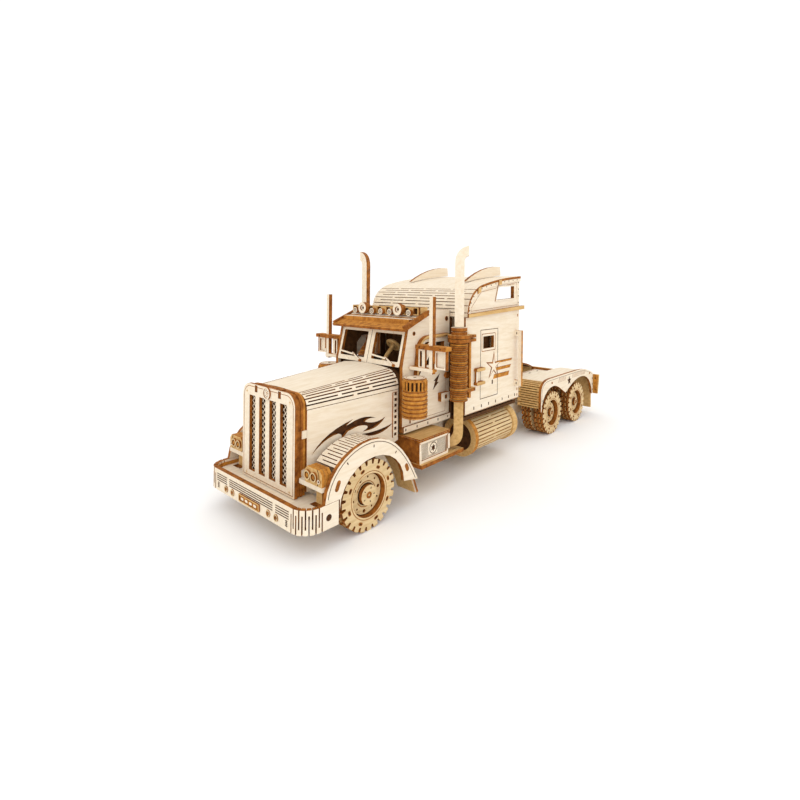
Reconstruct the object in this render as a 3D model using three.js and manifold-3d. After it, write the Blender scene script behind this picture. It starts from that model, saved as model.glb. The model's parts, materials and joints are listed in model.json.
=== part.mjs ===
// Wooden construction-kit model of a long-nosed road tractor with a high-roof sleeper.
// Every piece is a plywood sheet, flat or bent through slit hinges, or a stack of such sheets.
// Frame: +X forward, +Y the truck's left side, +Z up, the floor at z = 0, millimetres.
// Inside the truck group, x is measured from the front axle.
import * as THREE from 'three';
import { mergeVertices } from 'three/addons/utils/BufferGeometryUtils.js';
import Module from 'manifold-3d';

const wasm = await Module();
wasm.setup();

// ---- driving dimensions ----
const SHEET = 2;                 // flat plywood sheet
const SKIN = 1.5;                // thin sheet that is bent through its slit hinges
const GAP = 0.3;                 // clearance between neighbouring pieces

const WHEEL_RADIUS = 16;
const WHEEL_FACE = 40;           // outer wheel faces, from the centre line
const WHEEL_WIDTH = 10;
const TEETH = 24;
const AXLE_RADIUS = 2;
const AXLE_X = { front: 0, middle: -189, rear: -234.5 };

const NOSE_X = 35.8;             // front face of the bumper
const TAIL_X = -271.9;           // rear face of the tail plate
const MIDDLE_X = (NOSE_X + TAIL_X) / 2;

const RAIL = { inside: 12, low: 13, top: 30, front: 17, rear: -269.6 };
const DECK_LOW = RAIL.top + GAP;
const FLOOR_LOW = DECK_LOW + SHEET + GAP;

const BUMPER = { half: 41.1, corner: 8.3, end: 18.5, low: 11.2, top: 19.4, skin: 2.2 };
const SHELF_TOP = 17.5;
const GRILLE = { face: 27.4, rear: 21.5, half: 22, low: SHELF_TOP + GAP, top: 63.3, corner: 6 };
const HOOD = { front: 21.2, rear: -33.3, frontHalf: 21.9, rearHalf: 25.6, frontLow: 55.6, rearLow: 56.9 };
const FENDER = { outside: 41, inner: 26.4, archX: -2, archHalf: 19.8, archRise: 17.3 };
const HEADLIGHT = { front: 25.4, rear: 20.5, y0: 26.5, y1: 38.5, low: 26.6, top: 33.6 };
const CAB = { half: 27.5, front: -34.4, rear: -74.5, low: 33.5, top: 97.6 };
const SLEEPER = { half: 39, front: -75, rear: -137, low: 36.6 };
const VISOR = { slope: THREE.MathUtils.degToRad(22), x: -33.7, z: 87, length: 21.5, half: 29.5 };
const LAMP = { rear: -48.5, big: 3.3, small: 1.7, bigZ: 98, smallZ: 96.4 };
const TANK = { y: 28, z: 20, radius: 12.1, skin: 10.9, front: -85, rear: -134.5 };
const STACK = { x: -68.6, y: 39.1 };
const PIPE = { half: 2.65, leftTurn: THREE.MathUtils.degToRad(126), rightTurn: -THREE.MathUtils.degToRad(97) };
const MUFFLER = { radius: 5.1, low: 46.7, top: 84.8 };
const DRUM = { x: -35.5, y: 35.3, radius: 7, low: 43.6, top: 63.8 };
const REAR_FENDER = { outside: 40, front: -169, top: 42.6, archTop: 36.3, inner: 21 };
const EAR = { half: 45.2, low: 17.5, top: 34.5 };
const PIPE_TOP = 134.3;

const BIRCH = 0xf3e2c4;
const EDGE = 0xb8803c;
const DARK = 0x8a5526;

// ---- small tools ----
const X_AXIS = new THREE.Vector3(1, 0, 0);
const Y_AXIS = new THREE.Vector3(0, 1, 0);
const Z_AXIS = new THREE.Vector3(0, 0, 1);

function merged(geometry) {
  const bare = geometry.clone();
  bare.deleteAttribute('normal');
  bare.deleteAttribute('uv');
  return mergeVertices(bare, 1e-4);
}

function toSolid(geometry) {
  const bare = merged(geometry);
  const vertProperties = new Float32Array(bare.attributes.position.array);
  const triVerts = new Uint32Array(bare.index.array);
  return new wasm.Manifold(new wasm.Mesh({ numProp: 3, vertProperties, triVerts }));
}

function fromSolid(solid) {
  const { vertProperties, triVerts } = solid.getMesh();
  const geometry = new THREE.BufferGeometry();
  geometry.setAttribute('position', new THREE.BufferAttribute(vertProperties, 3));
  geometry.setIndex(new THREE.BufferAttribute(triVerts, 1));
  geometry.computeVertexNormals();
  return geometry;
}

function join(...parts) {
  return fromSolid(parts.map(toSolid).reduce((whole, part) => whole.add(part)));
}

function cut(body, ...tools) {
  return fromSolid(tools.map(toSolid).reduce((whole, tool) => whole.subtract(tool), toSolid(body)));
}

function mirrored(geometry) {
  const copy = merged(geometry);
  copy.scale(1, -1, 1);
  const index = copy.index.array;
  for (let i = 0; i < index.length; i += 3) {
    [index[i], index[i + 1]] = [index[i + 1], index[i]];
  }
  copy.computeVertexNormals();
  return copy;
}

function box(x0, x1, y0, y1, z0, z1) {
  const geometry = new THREE.BoxGeometry(x1 - x0, y1 - y0, z1 - z0);
  return geometry.translate((x0 + x1) / 2, (y0 + y1) / 2, (z0 + z1) / 2);
}

// Upright drum, standing on z0.
function drum(x, y, radius, z0, z1, sides = 20) {
  const geometry = new THREE.CylinderGeometry(radius, radius, z1 - z0, sides);
  return geometry.rotateX(Math.PI / 2).translate(x, y, (z0 + z1) / 2);
}

// Drum lying along X, and one lying along Y.
function drumX(y, z, radius, x0, x1, sides = 24) {
  const geometry = new THREE.CylinderGeometry(radius, radius, x1 - x0, sides);
  return geometry.rotateZ(Math.PI / 2).translate((x0 + x1) / 2, y, z);
}

function drumY(x, z, radius, y0, y1, sides = 24) {
  const geometry = new THREE.CylinderGeometry(radius, radius, y1 - y0, sides);
  return geometry.translate(x, (y0 + y1) / 2, z);
}

function outline(points) {
  return new THREE.Shape(points.map(([x, y]) => new THREE.Vector2(x, y)));
}

function extruded(shape, thickness, curveSegments = 6) {
  return new THREE.ExtrudeGeometry(shape, { depth: thickness, bevelEnabled: false, curveSegments });
}

// A sheet lying flat, drawn in x and y.
function flatSheet(shape, z, thickness = SHEET) {
  return extruded(shape, thickness).translate(0, 0, z);
}

// A sheet standing along the truck, drawn in x and z, from y to y + thickness.
function sideSheet(shape, y, thickness = SHEET) {
  const place = new THREE.Matrix4().makeBasis(X_AXIS, Z_AXIS, Y_AXIS.clone().negate());
  return extruded(shape, thickness).applyMatrix4(place).translate(0, y + thickness, 0);
}

// A sheet standing across the truck, drawn in y and z, from x to x + thickness.
function crossSheet(shape, x, thickness = SHEET) {
  const place = new THREE.Matrix4().makeBasis(Y_AXIS, Z_AXIS, X_AXIS);
  return extruded(shape, thickness).applyMatrix4(place).translate(x, 0, 0);
}

// Moves a curve sideways, to the left of its direction.
function offset(path, distance) {
  return path.map((point, i) => {
    const before = path[Math.max(i - 1, 0)];
    const after = path[Math.min(i + 1, path.length - 1)];
    const along = after.clone().sub(before).normalize();
    return new THREE.Vector2(point.x - along.y * distance, point.y + along.x * distance);
  });
}

// Closed outline of a bent sheet that follows a curve.
function bentSheet(path, thickness) {
  return new THREE.Shape([...path, ...offset(path, thickness).reverse()]);
}

// Ruled solid between two closed loops of points with the same count.
function loft(front, rear) {
  const count = front.length;
  const cap = THREE.ShapeUtils.triangulateShape(front.map((p) => new THREE.Vector2(p.y, p.z)), []);
  const faces = [];
  for (const [a, b, c] of cap) {
    faces.push(a, b, c, count + a, count + c, count + b);
  }
  for (let i = 0; i < count; i += 1) {
    const next = (i + 1) % count;
    faces.push(i, count + i, next, next, count + i, count + next);
  }
  const geometry = new THREE.BufferGeometry().setFromPoints([...front, ...rear]);
  geometry.setIndex(faces);
  return geometry;
}

// ---- frame ----
function frameRail() {
  const side = outline([[RAIL.front, RAIL.low + 4], [RAIL.front, RAIL.top], [RAIL.rear, RAIL.top],
    [RAIL.rear, RAIL.low], [12, RAIL.low]]);
  const rail = sideSheet(side, RAIL.inside);
  const holes = Object.values(AXLE_X).map((x) => (
    drumY(x, WHEEL_RADIUS, AXLE_RADIUS + GAP, RAIL.inside - 1, RAIL.inside + SHEET + 1, 16)));
  return cut(rail, ...holes);
}

function frameDeck() {
  const deck = box(RAIL.rear, RAIL.front, -17, 17, DECK_LOW, DECK_LOW + SHEET);
  const slots = [-150, -175, -200, -225, -250].map((x) => box(x - 8, x, -4, 4, DECK_LOW - 1, DECK_LOW + 3));
  return cut(deck, ...slots);
}

function tailPlate() {
  const flap = { inside: 22, outside: REAR_FENDER.outside - SHEET - GAP, low: 4.5 };
  const half = [[EAR.half, EAR.top], [EAR.half - 1.2, EAR.low], [flap.outside, EAR.low], [flap.outside, flap.low], [flap.inside, flap.low],
    [flap.inside, EAR.low]];
  const shape = outline([...half, ...half.slice().reverse().map(([y, z]) => [-y, z])].reverse());
  return crossSheet(shape, RAIL.rear - GAP - SHEET);
}

// ---- bumper and grille ----
function bumperOutline(inset) {
  const { half, corner, end } = BUMPER;
  const x = NOSE_X - corner;
  const y = half - corner;
  const path = new THREE.Path();
  path.moveTo(end, -(half - inset));
  path.lineTo(x, -(half - inset));
  path.absarc(x, -y, corner - inset, -Math.PI / 2, 0, false);
  path.absarc(x, y, corner - inset, 0, Math.PI / 2, false);
  path.lineTo(end, half - inset);
  return path.getPoints(4);
}

function bumperSkin() {
  const shape = new THREE.Shape([...bumperOutline(0), ...bumperOutline(BUMPER.skin).reverse()]);
  return flatSheet(shape, BUMPER.low, BUMPER.top - BUMPER.low);
}

function bumperShelf() {
  const shelf = flatSheet(new THREE.Shape(bumperOutline(BUMPER.skin + GAP)), SHELF_TOP - SHEET);
  const slots = [-1, 1].map((side) => box(22, 25, side * 33 - 3.5, side * 33 + 3.5, 10, 20));
  return cut(shelf, ...slots);
}

function archedPanel(half, low, top, corner) {
  const shape = new THREE.Shape();
  shape.moveTo(-half, low);
  shape.lineTo(half, low);
  shape.lineTo(half, top - corner);
  shape.absarc(half - corner, top - corner, corner, 0, Math.PI / 2, false);
  shape.absarc(corner - half, top - corner, corner, Math.PI / 2, Math.PI, false);
  return shape;
}

function grilleFront() {
  const plate = crossSheet(archedPanel(GRILLE.half, GRILLE.low, GRILLE.top, GRILLE.corner),
    GRILLE.face - SKIN, SKIN);
  const slots = [-13.2, -4.4, 4.4, 13.2].map((y) => (
    box(GRILLE.face - 3, GRILLE.face + 1, y - 2.7, y + 2.7, 21.5, 57.8)));
  return cut(plate, ...slots);
}

function grilleSurround() {
  const depth = GRILLE.face - SKIN - GAP - GRILLE.rear;
  const block = crossSheet(archedPanel(GRILLE.half - 0.4, GRILLE.low, GRILLE.top - 0.4, GRILLE.corner),
    GRILLE.rear, depth);
  return cut(block, box(GRILLE.rear - 1, GRILLE.face, -19, 19, 20, 59));
}

function grilleLattice() {
  const rear = GRILLE.face - SKIN - GAP - SKIN;
  return box(rear, rear + SKIN, -19 + GAP, 19 - GAP, 20 + GAP, 59 - GAP);
}

// ---- hood ----
function hoodSection(x, half, low, top, corner, crown) {
  const path = new THREE.Path();
  path.moveTo(half, low);
  path.lineTo(half, top - corner);
  path.absarc(half - corner, top - corner, corner, 0, Math.PI / 2, false);
  path.quadraticCurveTo(0, top + 2 * crown, corner - half, top);
  path.absarc(corner - half, top - corner, corner, Math.PI / 2, Math.PI, false);
  path.lineTo(-half, low);
  const outer = path.getPoints(4);
  const loop = [...outer, ...offset(outer, SKIN).reverse()];
  return loop.map((point) => new THREE.Vector3(x, point.x, point.y));
}

function hoodTop() {
  const front = hoodSection(HOOD.front, HOOD.frontHalf, HOOD.frontLow, 62, 6, 0.7);
  const rear = hoodSection(HOOD.rear, HOOD.rearHalf, HOOD.rearLow, 67, 9, 1);
  return loft(front, rear);
}

function hoodSide() {
  const length = HOOD.front - HOOD.rear;
  const turn = Math.atan2(HOOD.rearHalf - HOOD.frontHalf, length);
  const shape = outline([[0, 19], [0, HOOD.frontLow - GAP], [-length, HOOD.rearLow - GAP], [-length, 30],
    [-length + 14, 26], [-length + 22, 19]].reverse());
  return sideSheet(shape, -SHEET).rotateZ(-turn).translate(HOOD.front, HOOD.frontHalf, 0);
}

function firewall() {
  const half = CAB.half - SHEET - GAP;
  const floorTop = FLOOR_LOW + SHEET + GAP;
  return crossSheet(archedPanel(half, floorTop, 66.8, 8), CAB.front - SHEET);
}

// ---- front fenders ----
// Outer edge of the front fender, from its front foot over the wheel to its rear foot.
function fenderCurve(segments) {
  const path = new THREE.Path();
  path.moveTo(25.5, 20.5);
  path.bezierCurveTo(24.5, 33, 13, 41.3, 0, 41.3);
  path.bezierCurveTo(-14, 41.3, -24, 30, -32, 14);
  return path.getPoints(segments);
}

function fenderPlate() {
  const { outside, archX, archHalf, archRise } = FENDER;
  const shape = new THREE.Shape(fenderCurve(7));
  shape.lineTo(archX - archHalf, WHEEL_RADIUS);
  shape.absellipse(archX, WHEEL_RADIUS, archHalf, archRise, Math.PI, 0, true, 0);
  shape.lineTo(archX + archHalf, 20.5);
  return sideSheet(shape, outside - SHEET);
}

// The bent sheet starts above the headlight and ends below the plate's rear foot.
function fenderSkin() {
  const curve = [...fenderCurve(7).slice(3), new THREE.Vector2(-34.8, 7)];
  const shape = bentSheet(offset(curve, 1), SKIN);
  return sideSheet(shape, FENDER.inner, FENDER.outside - SHEET - GAP - FENDER.inner);
}

// Twin lamps on a case that stands on a shelf beside the grille, with a post to the bumper's shelf.
function headlight() {
  const { front, rear, y0, y1, low, top } = HEADLIGHT;
  const middle = (low + top) / 2;
  const body = box(rear, front, y0, y1, low, top);
  const lamps = [29.6, 34.8].map((y) => drumX(y, middle, 2.2, front - 1, front + 1, 12));
  const shelf = box(rear - 2, front, GRILLE.half + 0.5, y1, low - SHEET, low + 0.2);
  const post = box(rear - 1, rear + 2, 31, 35, SHELF_TOP + GAP, low);
  return join(body, shelf, post, ...lamps);
}

// ---- cab ----
function cabSide() {
  const { front, rear, low, top } = CAB;
  const side = outline([[front, low], [rear, low], [rear, top], [-56.5, top], [-55, 94.8],
    [-38.6, 88.2], [front, 68]].reverse());
  const window = outline([[-49, 67], [-69, 67], [-69, 80], [-53, 80], [-49, 76]].reverse());
  return cut(sideSheet(side, CAB.half - SHEET), sideSheet(window, CAB.half - SHEET - 1, SHEET + 2));
}

function windshieldFrame() {
  const half = CAB.half - SHEET - GAP;
  const height = 20;
  const frame = crossSheet(outline([[-half, 0], [half, 0], [half, height], [-half, height]]), -SHEET);
  const panes = [-1, 1].map((side) => {
    const shape = outline([[2.9, 2.5], [half - 1.6, 2.5], [half - 1.6, 17.5], [2.9, 17.5]]);
    const pane = crossSheet(shape, -SHEET - 1, SHEET + 2);
    return side > 0 ? pane : mirrored(pane);
  });
  return cut(frame, ...panes).rotateY(-THREE.MathUtils.degToRad(13.9)).translate(-34, 0, 68);
}

// A sloping board with a level strip glued on top of its front part.
function sunVisor() {
  const { slope, x, z, length, half } = VISOR;
  const board = box(-length, 0, -half, half, 0, SKIN).rotateY(slope).translate(x, 0, z);
  const strip = sideSheet(outline([[-46, 92.6], [-39.5, 90], [-39.5, 93.2], [-46, 93.2]]), -27, 54);
  return join(board, strip);
}

// Lamps and horns on a low bar; a cheek at each end of the bar runs back over the visor.
function roofLampBar() {
  const { rear, big, small, bigZ, smallZ } = LAMP;
  const bar = box(rear, rear + SKIN, -27.2, 27.2, 95, 99.4);
  const cheek = outline([[rear + 0.5, 95], [-53, 97.3], [-54.6, 97.3], [-54.6, 99.4], [rear + 0.5, 99.4]]
    .reverse());
  const cheeks = [25.6, -27.2].map((y) => sideSheet(cheek, y, 1.6));
  const horns = [-14.5, 14.5].map((y) => drumX(y, bigZ, big, rear + 0.5, -43.2, 16));
  const lamps = [-22, -7.3, 0, 7.3, 22].map((y) => drumX(y, smallZ, small, rear + 0.5, -44.2, 12));
  return join(bar, ...cheeks, ...horns, ...lamps);
}

function cabRoof() {
  const half = CAB.half - SHEET - GAP;
  return box(CAB.rear, -56.5, -half, half, 95.2, 95.2 + SHEET);
}

function bodyFloor() {
  const cabHalf = CAB.half - SHEET - GAP;
  const sleeperHalf = SLEEPER.half - SHEET - GAP;
  return join(box(-76.5, CAB.front - SHEET, -cabHalf, cabHalf, FLOOR_LOW, FLOOR_LOW + SHEET),
    box(SLEEPER.rear, -76.4, -sleeperHalf, sleeperHalf, FLOOR_LOW, FLOOR_LOW + SHEET));
}

function cabRearWall() {
  const floorTop = FLOOR_LOW + SHEET + GAP;
  return box(CAB.rear - GAP - SKIN, CAB.rear - GAP, -28.2, 28.2, floorTop, 93);
}

function seatBench() {
  const floorTop = FLOOR_LOW + SHEET + GAP;
  const profile = outline([[-54, floorTop], [-54, 52], [-66, 52], [-69, 70], [-72, 70], [-70, floorTop]]);
  const seat = (y) => sideSheet(new THREE.Shape(profile.getPoints().reverse()), y, 16);
  const base = box(-69, -56, -21, 21, floorTop, floorTop + 4);
  return join(seat(4), seat(-20), base);
}

function steeringWheel() {
  const rim = new THREE.TorusGeometry(4, 0.9, 6, 20);
  const spokes = box(-4, 4, -1.2, 1.2, -0.6, 0.6);
  const length = 16.8;
  const column = new THREE.CylinderGeometry(1.2, 1.2, length, 10).rotateX(Math.PI / 2)
    .translate(0, 0, -length / 2);
  const wheel = join(rim, spokes, column);
  return wheel.rotateY(-THREE.MathUtils.degToRad(45)).translate(-49.5, 6, 77);
}

// ---- fittings along the sides ----
function airCleaner() {
  const { x, y, radius, low, top } = DRUM;
  const body = drum(x, y, radius - 0.8, low, top, 20);
  const rings = [[low, low + 8], [top - 4, top]].map(([z0, z1]) => drum(x, y, radius, z0, z1, 20));
  return join(body, ...rings);
}

function batteryBox() {
  const chest = box(-59.5, -36, 20, 38.5, 19, 31);
  const lid = box(-60.5, -35.4, 19.5, 39.3, 30.5, 32.2);
  const step = box(-72, -36, 24, 40.5, 17.2, 19.2);
  return join(chest, lid, step);
}

function fuelTank() {
  const { y, z, radius, skin, front, rear } = TANK;
  return join(drumX(y, z, skin, rear + 1, front - 1), drumX(y, z, radius, front - 4, front),
    drumX(y, z, radius, rear, rear + 5.5));
}

function muffler() {
  const { x, y } = STACK;
  const { radius, low, top } = MUFFLER;
  const bracket = box(CAB.rear + GAP, x, y - 3, y + 3, top - 4.5, top - 2.5);
  return join(drum(x, y, radius, low, top, 20), drum(x, y, radius + 1.3, top - 5, top - 1, 20),
    drum(x, y, 3.8, top - 1, 88, 16), bracket, downPipe());
}

// Flat pipes are cut from two sheets and turned about the upright line of the muffler.
function flatPipe(shape, turn, y) {
  return sideSheet(shape, -SKIN, 2 * SKIN).rotateZ(turn).translate(STACK.x, y, 0);
}

function exhaustStack(turn, y) {
  const w = PIPE.half;
  const shape = new THREE.Shape();
  shape.moveTo(-w, 88 + GAP);
  shape.lineTo(w, 88 + GAP);
  shape.lineTo(w, PIPE_TOP - 9);
  shape.quadraticCurveTo(w + 0.2, PIPE_TOP - 6.5, w + 2.4, PIPE_TOP - 5.8);
  shape.lineTo(w + 2.4, PIPE_TOP);
  shape.quadraticCurveTo(-w + 0.6, PIPE_TOP - 2.5, -w, PIPE_TOP - 10);
  return flatPipe(shape, turn, y);
}

function downPipe() {
  const w = PIPE.half;
  const shape = new THREE.Shape();
  shape.moveTo(w, MUFFLER.low + 1);
  shape.lineTo(-w, MUFFLER.low + 1);
  shape.lineTo(-w, 30);
  shape.quadraticCurveTo(-w - 0.5, 26.5, -w - 4.5, 25.2);
  shape.lineTo(-w - 4.5, 20.4);
  shape.quadraticCurveTo(w, 21, w, 30);
  return flatPipe(shape, PIPE.leftTurn, STACK.y);
}

function mirror() {
  const pole = box(-42.1, -39.5, 41.3, 43.5, 65.5, 105.6);
  const upperBar = box(-43.4, -38.4, 32.6, 52.9, 78.2, 80.4);
  const lowerBar = box(-42.6, -39.2, 27.9, 44, 66.6, 68.4);
  const glass = box(-41.6, -40.1, 44.6, 52.4, 68.6, 78.6);
  const frame = box(-41.6, -40.1, 33.6, 38, 68, 78.6);
  return join(pole, upperBar, lowerBar, glass, frame);
}

// ---- sleeper ----
// Upper edge of the sleeper roof, from the cab roof to the rear wall.
function roofCurve() {
  const path = new THREE.Path();
  path.moveTo(-75.1, 93.5);
  path.bezierCurveTo(-75.1, 104, -81, 109.6, -90, 112.3);
  path.bezierCurveTo(-105, 116, -120, 117.6, SLEEPER.rear, 118.8);
  return path.getPoints(6);
}

function sleeperSide() {
  const { half, front, rear, low } = SLEEPER;
  const roof = offset(roofCurve(), GAP).map((point) => [point.x, point.y - GAP]);
  const side = outline([[rear, low], [front, low], [front, 93.2], ...roof]);
  const window = outline([[-105.5, 73.5], [-93.5, 73.5], [-93.5, 81], [-105.5, 81]]);
  const vent = outline([[-129, 104], [-107, 103], [-110, 111], [-129, 112]].reverse());
  const tool = (shape) => sideSheet(shape, half - SHEET - 1, SHEET + 2);
  return cut(sideSheet(side, half - SHEET), tool(window), tool(new THREE.Shape(vent.getPoints().reverse())));
}

function roofFairing() {
  const half = SLEEPER.half - SHEET - GAP;
  return sideSheet(bentSheet(roofCurve(), SKIN), -half, 2 * half);
}

function roofFin() {
  const front = -95;
  const seat = roofCurve().filter((point) => point.x < front - 2);
  const foot = offset(seat, -GAP).map((point) => [point.x, point.y + 0.2]);
  const shape = outline([...foot]);
  shape.lineTo(SLEEPER.rear + 1, 125.4);
  shape.bezierCurveTo(-122, 126, -106, 121, front, 114.4);
  return sideSheet(shape, 22.2);
}

function sleeperRearWall() {
  const half = SLEEPER.half - SHEET - GAP;
  const floorTop = FLOOR_LOW + SHEET + GAP;
  const wall = box(SLEEPER.rear, SLEEPER.rear + SHEET, -half, half, floorTop, 116.6);
  return cut(wall, box(SLEEPER.rear - 1, SLEEPER.rear + SHEET + 1, 2 - half, half - 2, 99.5, 114.2));
}

// ---- rear fenders ----
function rearFenderCurve(front, rear, top) {
  const path = new THREE.Path();
  path.moveTo(front, 22);
  path.lineTo(front, top - 10);
  path.quadraticCurveTo(front, top, front - 14, top);
  path.lineTo(rear + 34, top);
  path.quadraticCurveTo(rear + 16, top, rear, top - 6.5);
  return path.getPoints(5);
}

// Two arches that meet in a point midway between the axles.
function rearFenderPlate() {
  const { outside, front, top, archTop } = REAR_FENDER;
  const rear = RAIL.rear;
  const { rear: last, middle } = AXLE_X;
  const point = { x: (last + middle) / 2, z: archTop - 8.8 };
  const shape = new THREE.Shape(rearFenderCurve(front, rear, top));
  shape.lineTo(rear, EAR.low);
  shape.lineTo(rear + 1.8, EAR.low);
  shape.bezierCurveTo(rear + 3, 29, last - 22.5, archTop, last - 8.5, archTop);
  shape.bezierCurveTo(last + 1.5, archTop, last + 10.5, archTop - 2.8, point.x, point.z);
  shape.bezierCurveTo(middle - 13, archTop - 3.8, middle - 7, archTop, middle, archTop);
  shape.bezierCurveTo(middle + 10.5, archTop, middle + 19.1, 29, middle + 19.1, 20);
  shape.lineTo(front, 20);
  return sideSheet(shape, outside - SHEET);
}

function rearFenderSkin() {
  const { outside, front, top, inner } = REAR_FENDER;
  const curve = rearFenderCurve(front, RAIL.rear, top);
  const shape = bentSheet(offset(curve, 1), SKIN);
  return sideSheet(shape, inner, outside - SHEET - GAP - inner);
}

// ---- wheels and axles ----
function toothedOutline() {
  const shape = new THREE.Shape();
  const pitch = 2 * Math.PI / TEETH;
  const corners = [[-0.3, 1], [0.3, 1], [0.36, 0], [0.64, 0]];
  const tip = WHEEL_RADIUS / Math.cos(0.3 * pitch);
  const root = WHEEL_RADIUS - 1.5;
  for (let tooth = 0; tooth < TEETH; tooth += 1) {
    for (const [step, high] of corners) {
      const angle = (tooth + step) * pitch - Math.PI / 2;
      const radius = high ? tip : root;
      const point = [radius * Math.cos(angle), WHEEL_RADIUS + radius * Math.sin(angle)];
      if (tooth === 0 && step === corners[0][0]) shape.moveTo(...point);
      else shape.lineTo(...point);
    }
  }
  return shape;
}

// Wheel of stacked toothed discs; the tyres are given as spans of y.
function wheel(tyres) {
  const discs = tyres.map(([y0, y1]) => {
    const recess = drumY(0, WHEEL_RADIUS, 9.6, y1 - 2.4, y1 + 1, 24);
    return cut(sideSheet(toothedOutline(), y0, y1 - y0), recess);
  });
  const [first, last] = [tyres[0][0], tyres[tyres.length - 1][1]];
  const hub = drumY(0, WHEEL_RADIUS, 5.5, first, last - 1.2, 20);
  const bore = drumY(0, WHEEL_RADIUS, AXLE_RADIUS + GAP, first - 1, last + 1, 16);
  return cut(join(...discs, hub), bore);
}

function axle() {
  return drumY(0, WHEEL_RADIUS, AXLE_RADIUS, -(WHEEL_FACE - 1), WHEEL_FACE - 1, 16);
}

// ---- assembly ----
const truck = new THREE.Group();
truck.position.x = -MIDDLE_X;

function add(name, geometry, color = BIRCH, x = 0) {
  const material = new THREE.MeshStandardMaterial({ color, roughness: 0.65, metalness: 0 });
  const mesh = new THREE.Mesh(geometry, material);
  mesh.name = name;
  mesh.position.x = x;
  truck.add(mesh);
}

function addPair(name, geometry, color = BIRCH, x = 0) {
  add(`${name}_left`, geometry, color, x);
  add(`${name}_right`, mirrored(geometry), color, x);
}

addPair('frame_rail', frameRail(), EDGE);
add('frame_deck', frameDeck());
add('tail_plate', tailPlate(), EDGE);
add('bumper_skin', bumperSkin());
add('bumper_shelf', bumperShelf());
add('grille_front_plate', grilleFront());
add('grille_lattice', grilleLattice(), EDGE);
add('grille_surround', grilleSurround(), DARK);
add('hood_top_sheet', hoodTop());
addPair('hood_side', hoodSide());
add('firewall', firewall(), EDGE);
addPair('front_fender_plate', fenderPlate());
addPair('front_fender_skin', fenderSkin(), EDGE);
addPair('headlight', headlight(), EDGE);
addPair('cab_side', cabSide());
add('windshield_frame', windshieldFrame());
add('cab_roof', cabRoof());
add('body_floor', bodyFloor());
add('cab_rear_wall', cabRearWall());
add('seat_bench', seatBench(), EDGE);
add('steering_wheel', steeringWheel(), DARK);
add('sun_visor', sunVisor(), DARK);
add('roof_lamp_bar', roofLampBar(), EDGE);
addPair('air_cleaner', airCleaner(), EDGE);
addPair('battery_box', batteryBox());
addPair('fuel_tank', fuelTank());
addPair('muffler', muffler(), DARK);
add('exhaust_stack_left', exhaustStack(PIPE.leftTurn, STACK.y));
add('exhaust_stack_right', exhaustStack(PIPE.rightTurn, -STACK.y));
addPair('mirror', mirror());
addPair('sleeper_side', sleeperSide());
add('sleeper_rear_wall', sleeperRearWall());
add('roof_fairing_sheet', roofFairing());
addPair('roof_fin', roofFin());
addPair('rear_fender_plate', rearFenderPlate());
addPair('rear_fender_skin', rearFenderSkin(), EDGE);
for (const [place, x] of Object.entries(AXLE_X)) {
  const outer = WHEEL_FACE - WHEEL_WIDTH;
  const single = wheel([[outer, WHEEL_FACE]]);
  const twin = wheel([[22, 29], [32, WHEEL_FACE - 0.5]]);
  addPair(`${place}_wheel`, place === 'front' ? single : twin, BIRCH, x);
  add(`${place}_axle`, axle(), EDGE, x);
}

export default truck;
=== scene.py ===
"""Wooden construction-kit model of a long-nosed road tractor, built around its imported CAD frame.

Pieces are drawn in millimetres in the truck's own axes: x forward from the front axle, y to the
truck's left, z up from the floor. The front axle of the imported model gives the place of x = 0.
"""
import json
import math

import bmesh
import bpy
from mathutils import Matrix, Vector
from mathutils.geometry import tessellate_polygon


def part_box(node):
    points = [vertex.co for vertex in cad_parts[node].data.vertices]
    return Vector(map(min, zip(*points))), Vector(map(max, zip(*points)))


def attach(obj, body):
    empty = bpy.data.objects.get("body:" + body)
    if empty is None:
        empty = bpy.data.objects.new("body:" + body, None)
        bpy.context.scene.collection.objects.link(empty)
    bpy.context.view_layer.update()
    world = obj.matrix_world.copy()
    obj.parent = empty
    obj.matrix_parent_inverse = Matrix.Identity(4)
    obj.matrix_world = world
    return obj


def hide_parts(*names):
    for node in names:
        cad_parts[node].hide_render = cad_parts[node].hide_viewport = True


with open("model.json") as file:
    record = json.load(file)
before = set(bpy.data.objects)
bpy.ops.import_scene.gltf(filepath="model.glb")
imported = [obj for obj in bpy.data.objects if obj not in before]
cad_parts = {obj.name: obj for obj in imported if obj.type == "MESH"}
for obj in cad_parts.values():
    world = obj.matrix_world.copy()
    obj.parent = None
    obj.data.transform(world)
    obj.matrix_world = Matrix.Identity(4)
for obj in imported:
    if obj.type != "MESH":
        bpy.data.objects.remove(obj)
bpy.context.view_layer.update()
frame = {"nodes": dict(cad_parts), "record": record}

MM = 0.001


def centre(node):
    low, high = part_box(node)
    return (low + high) / (2 * MM)


FRONT_AXLE = centre("front_axle").x


def span(node):
    """Lowest and highest corner of a CAD node in truck millimetres."""
    low, high = (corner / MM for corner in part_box(node))
    shift = Vector((FRONT_AXLE, 0, 0))
    return low - shift, high - shift


def put(name, data):
    """Object of that data, linked into the scene."""
    made = bpy.data.objects.new(name, data)
    bpy.context.scene.collection.objects.link(made)
    return made


# ---- camera ----
CAMERA_AT = Vector((145.0, 196.0, 110.1))
YAW, PITCH, ROLL = 3.8386, 0.00397, 0.0096
LENS, SENSOR = 21.01, 36
SHIFT = (-0.0375, -0.1375)


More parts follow.
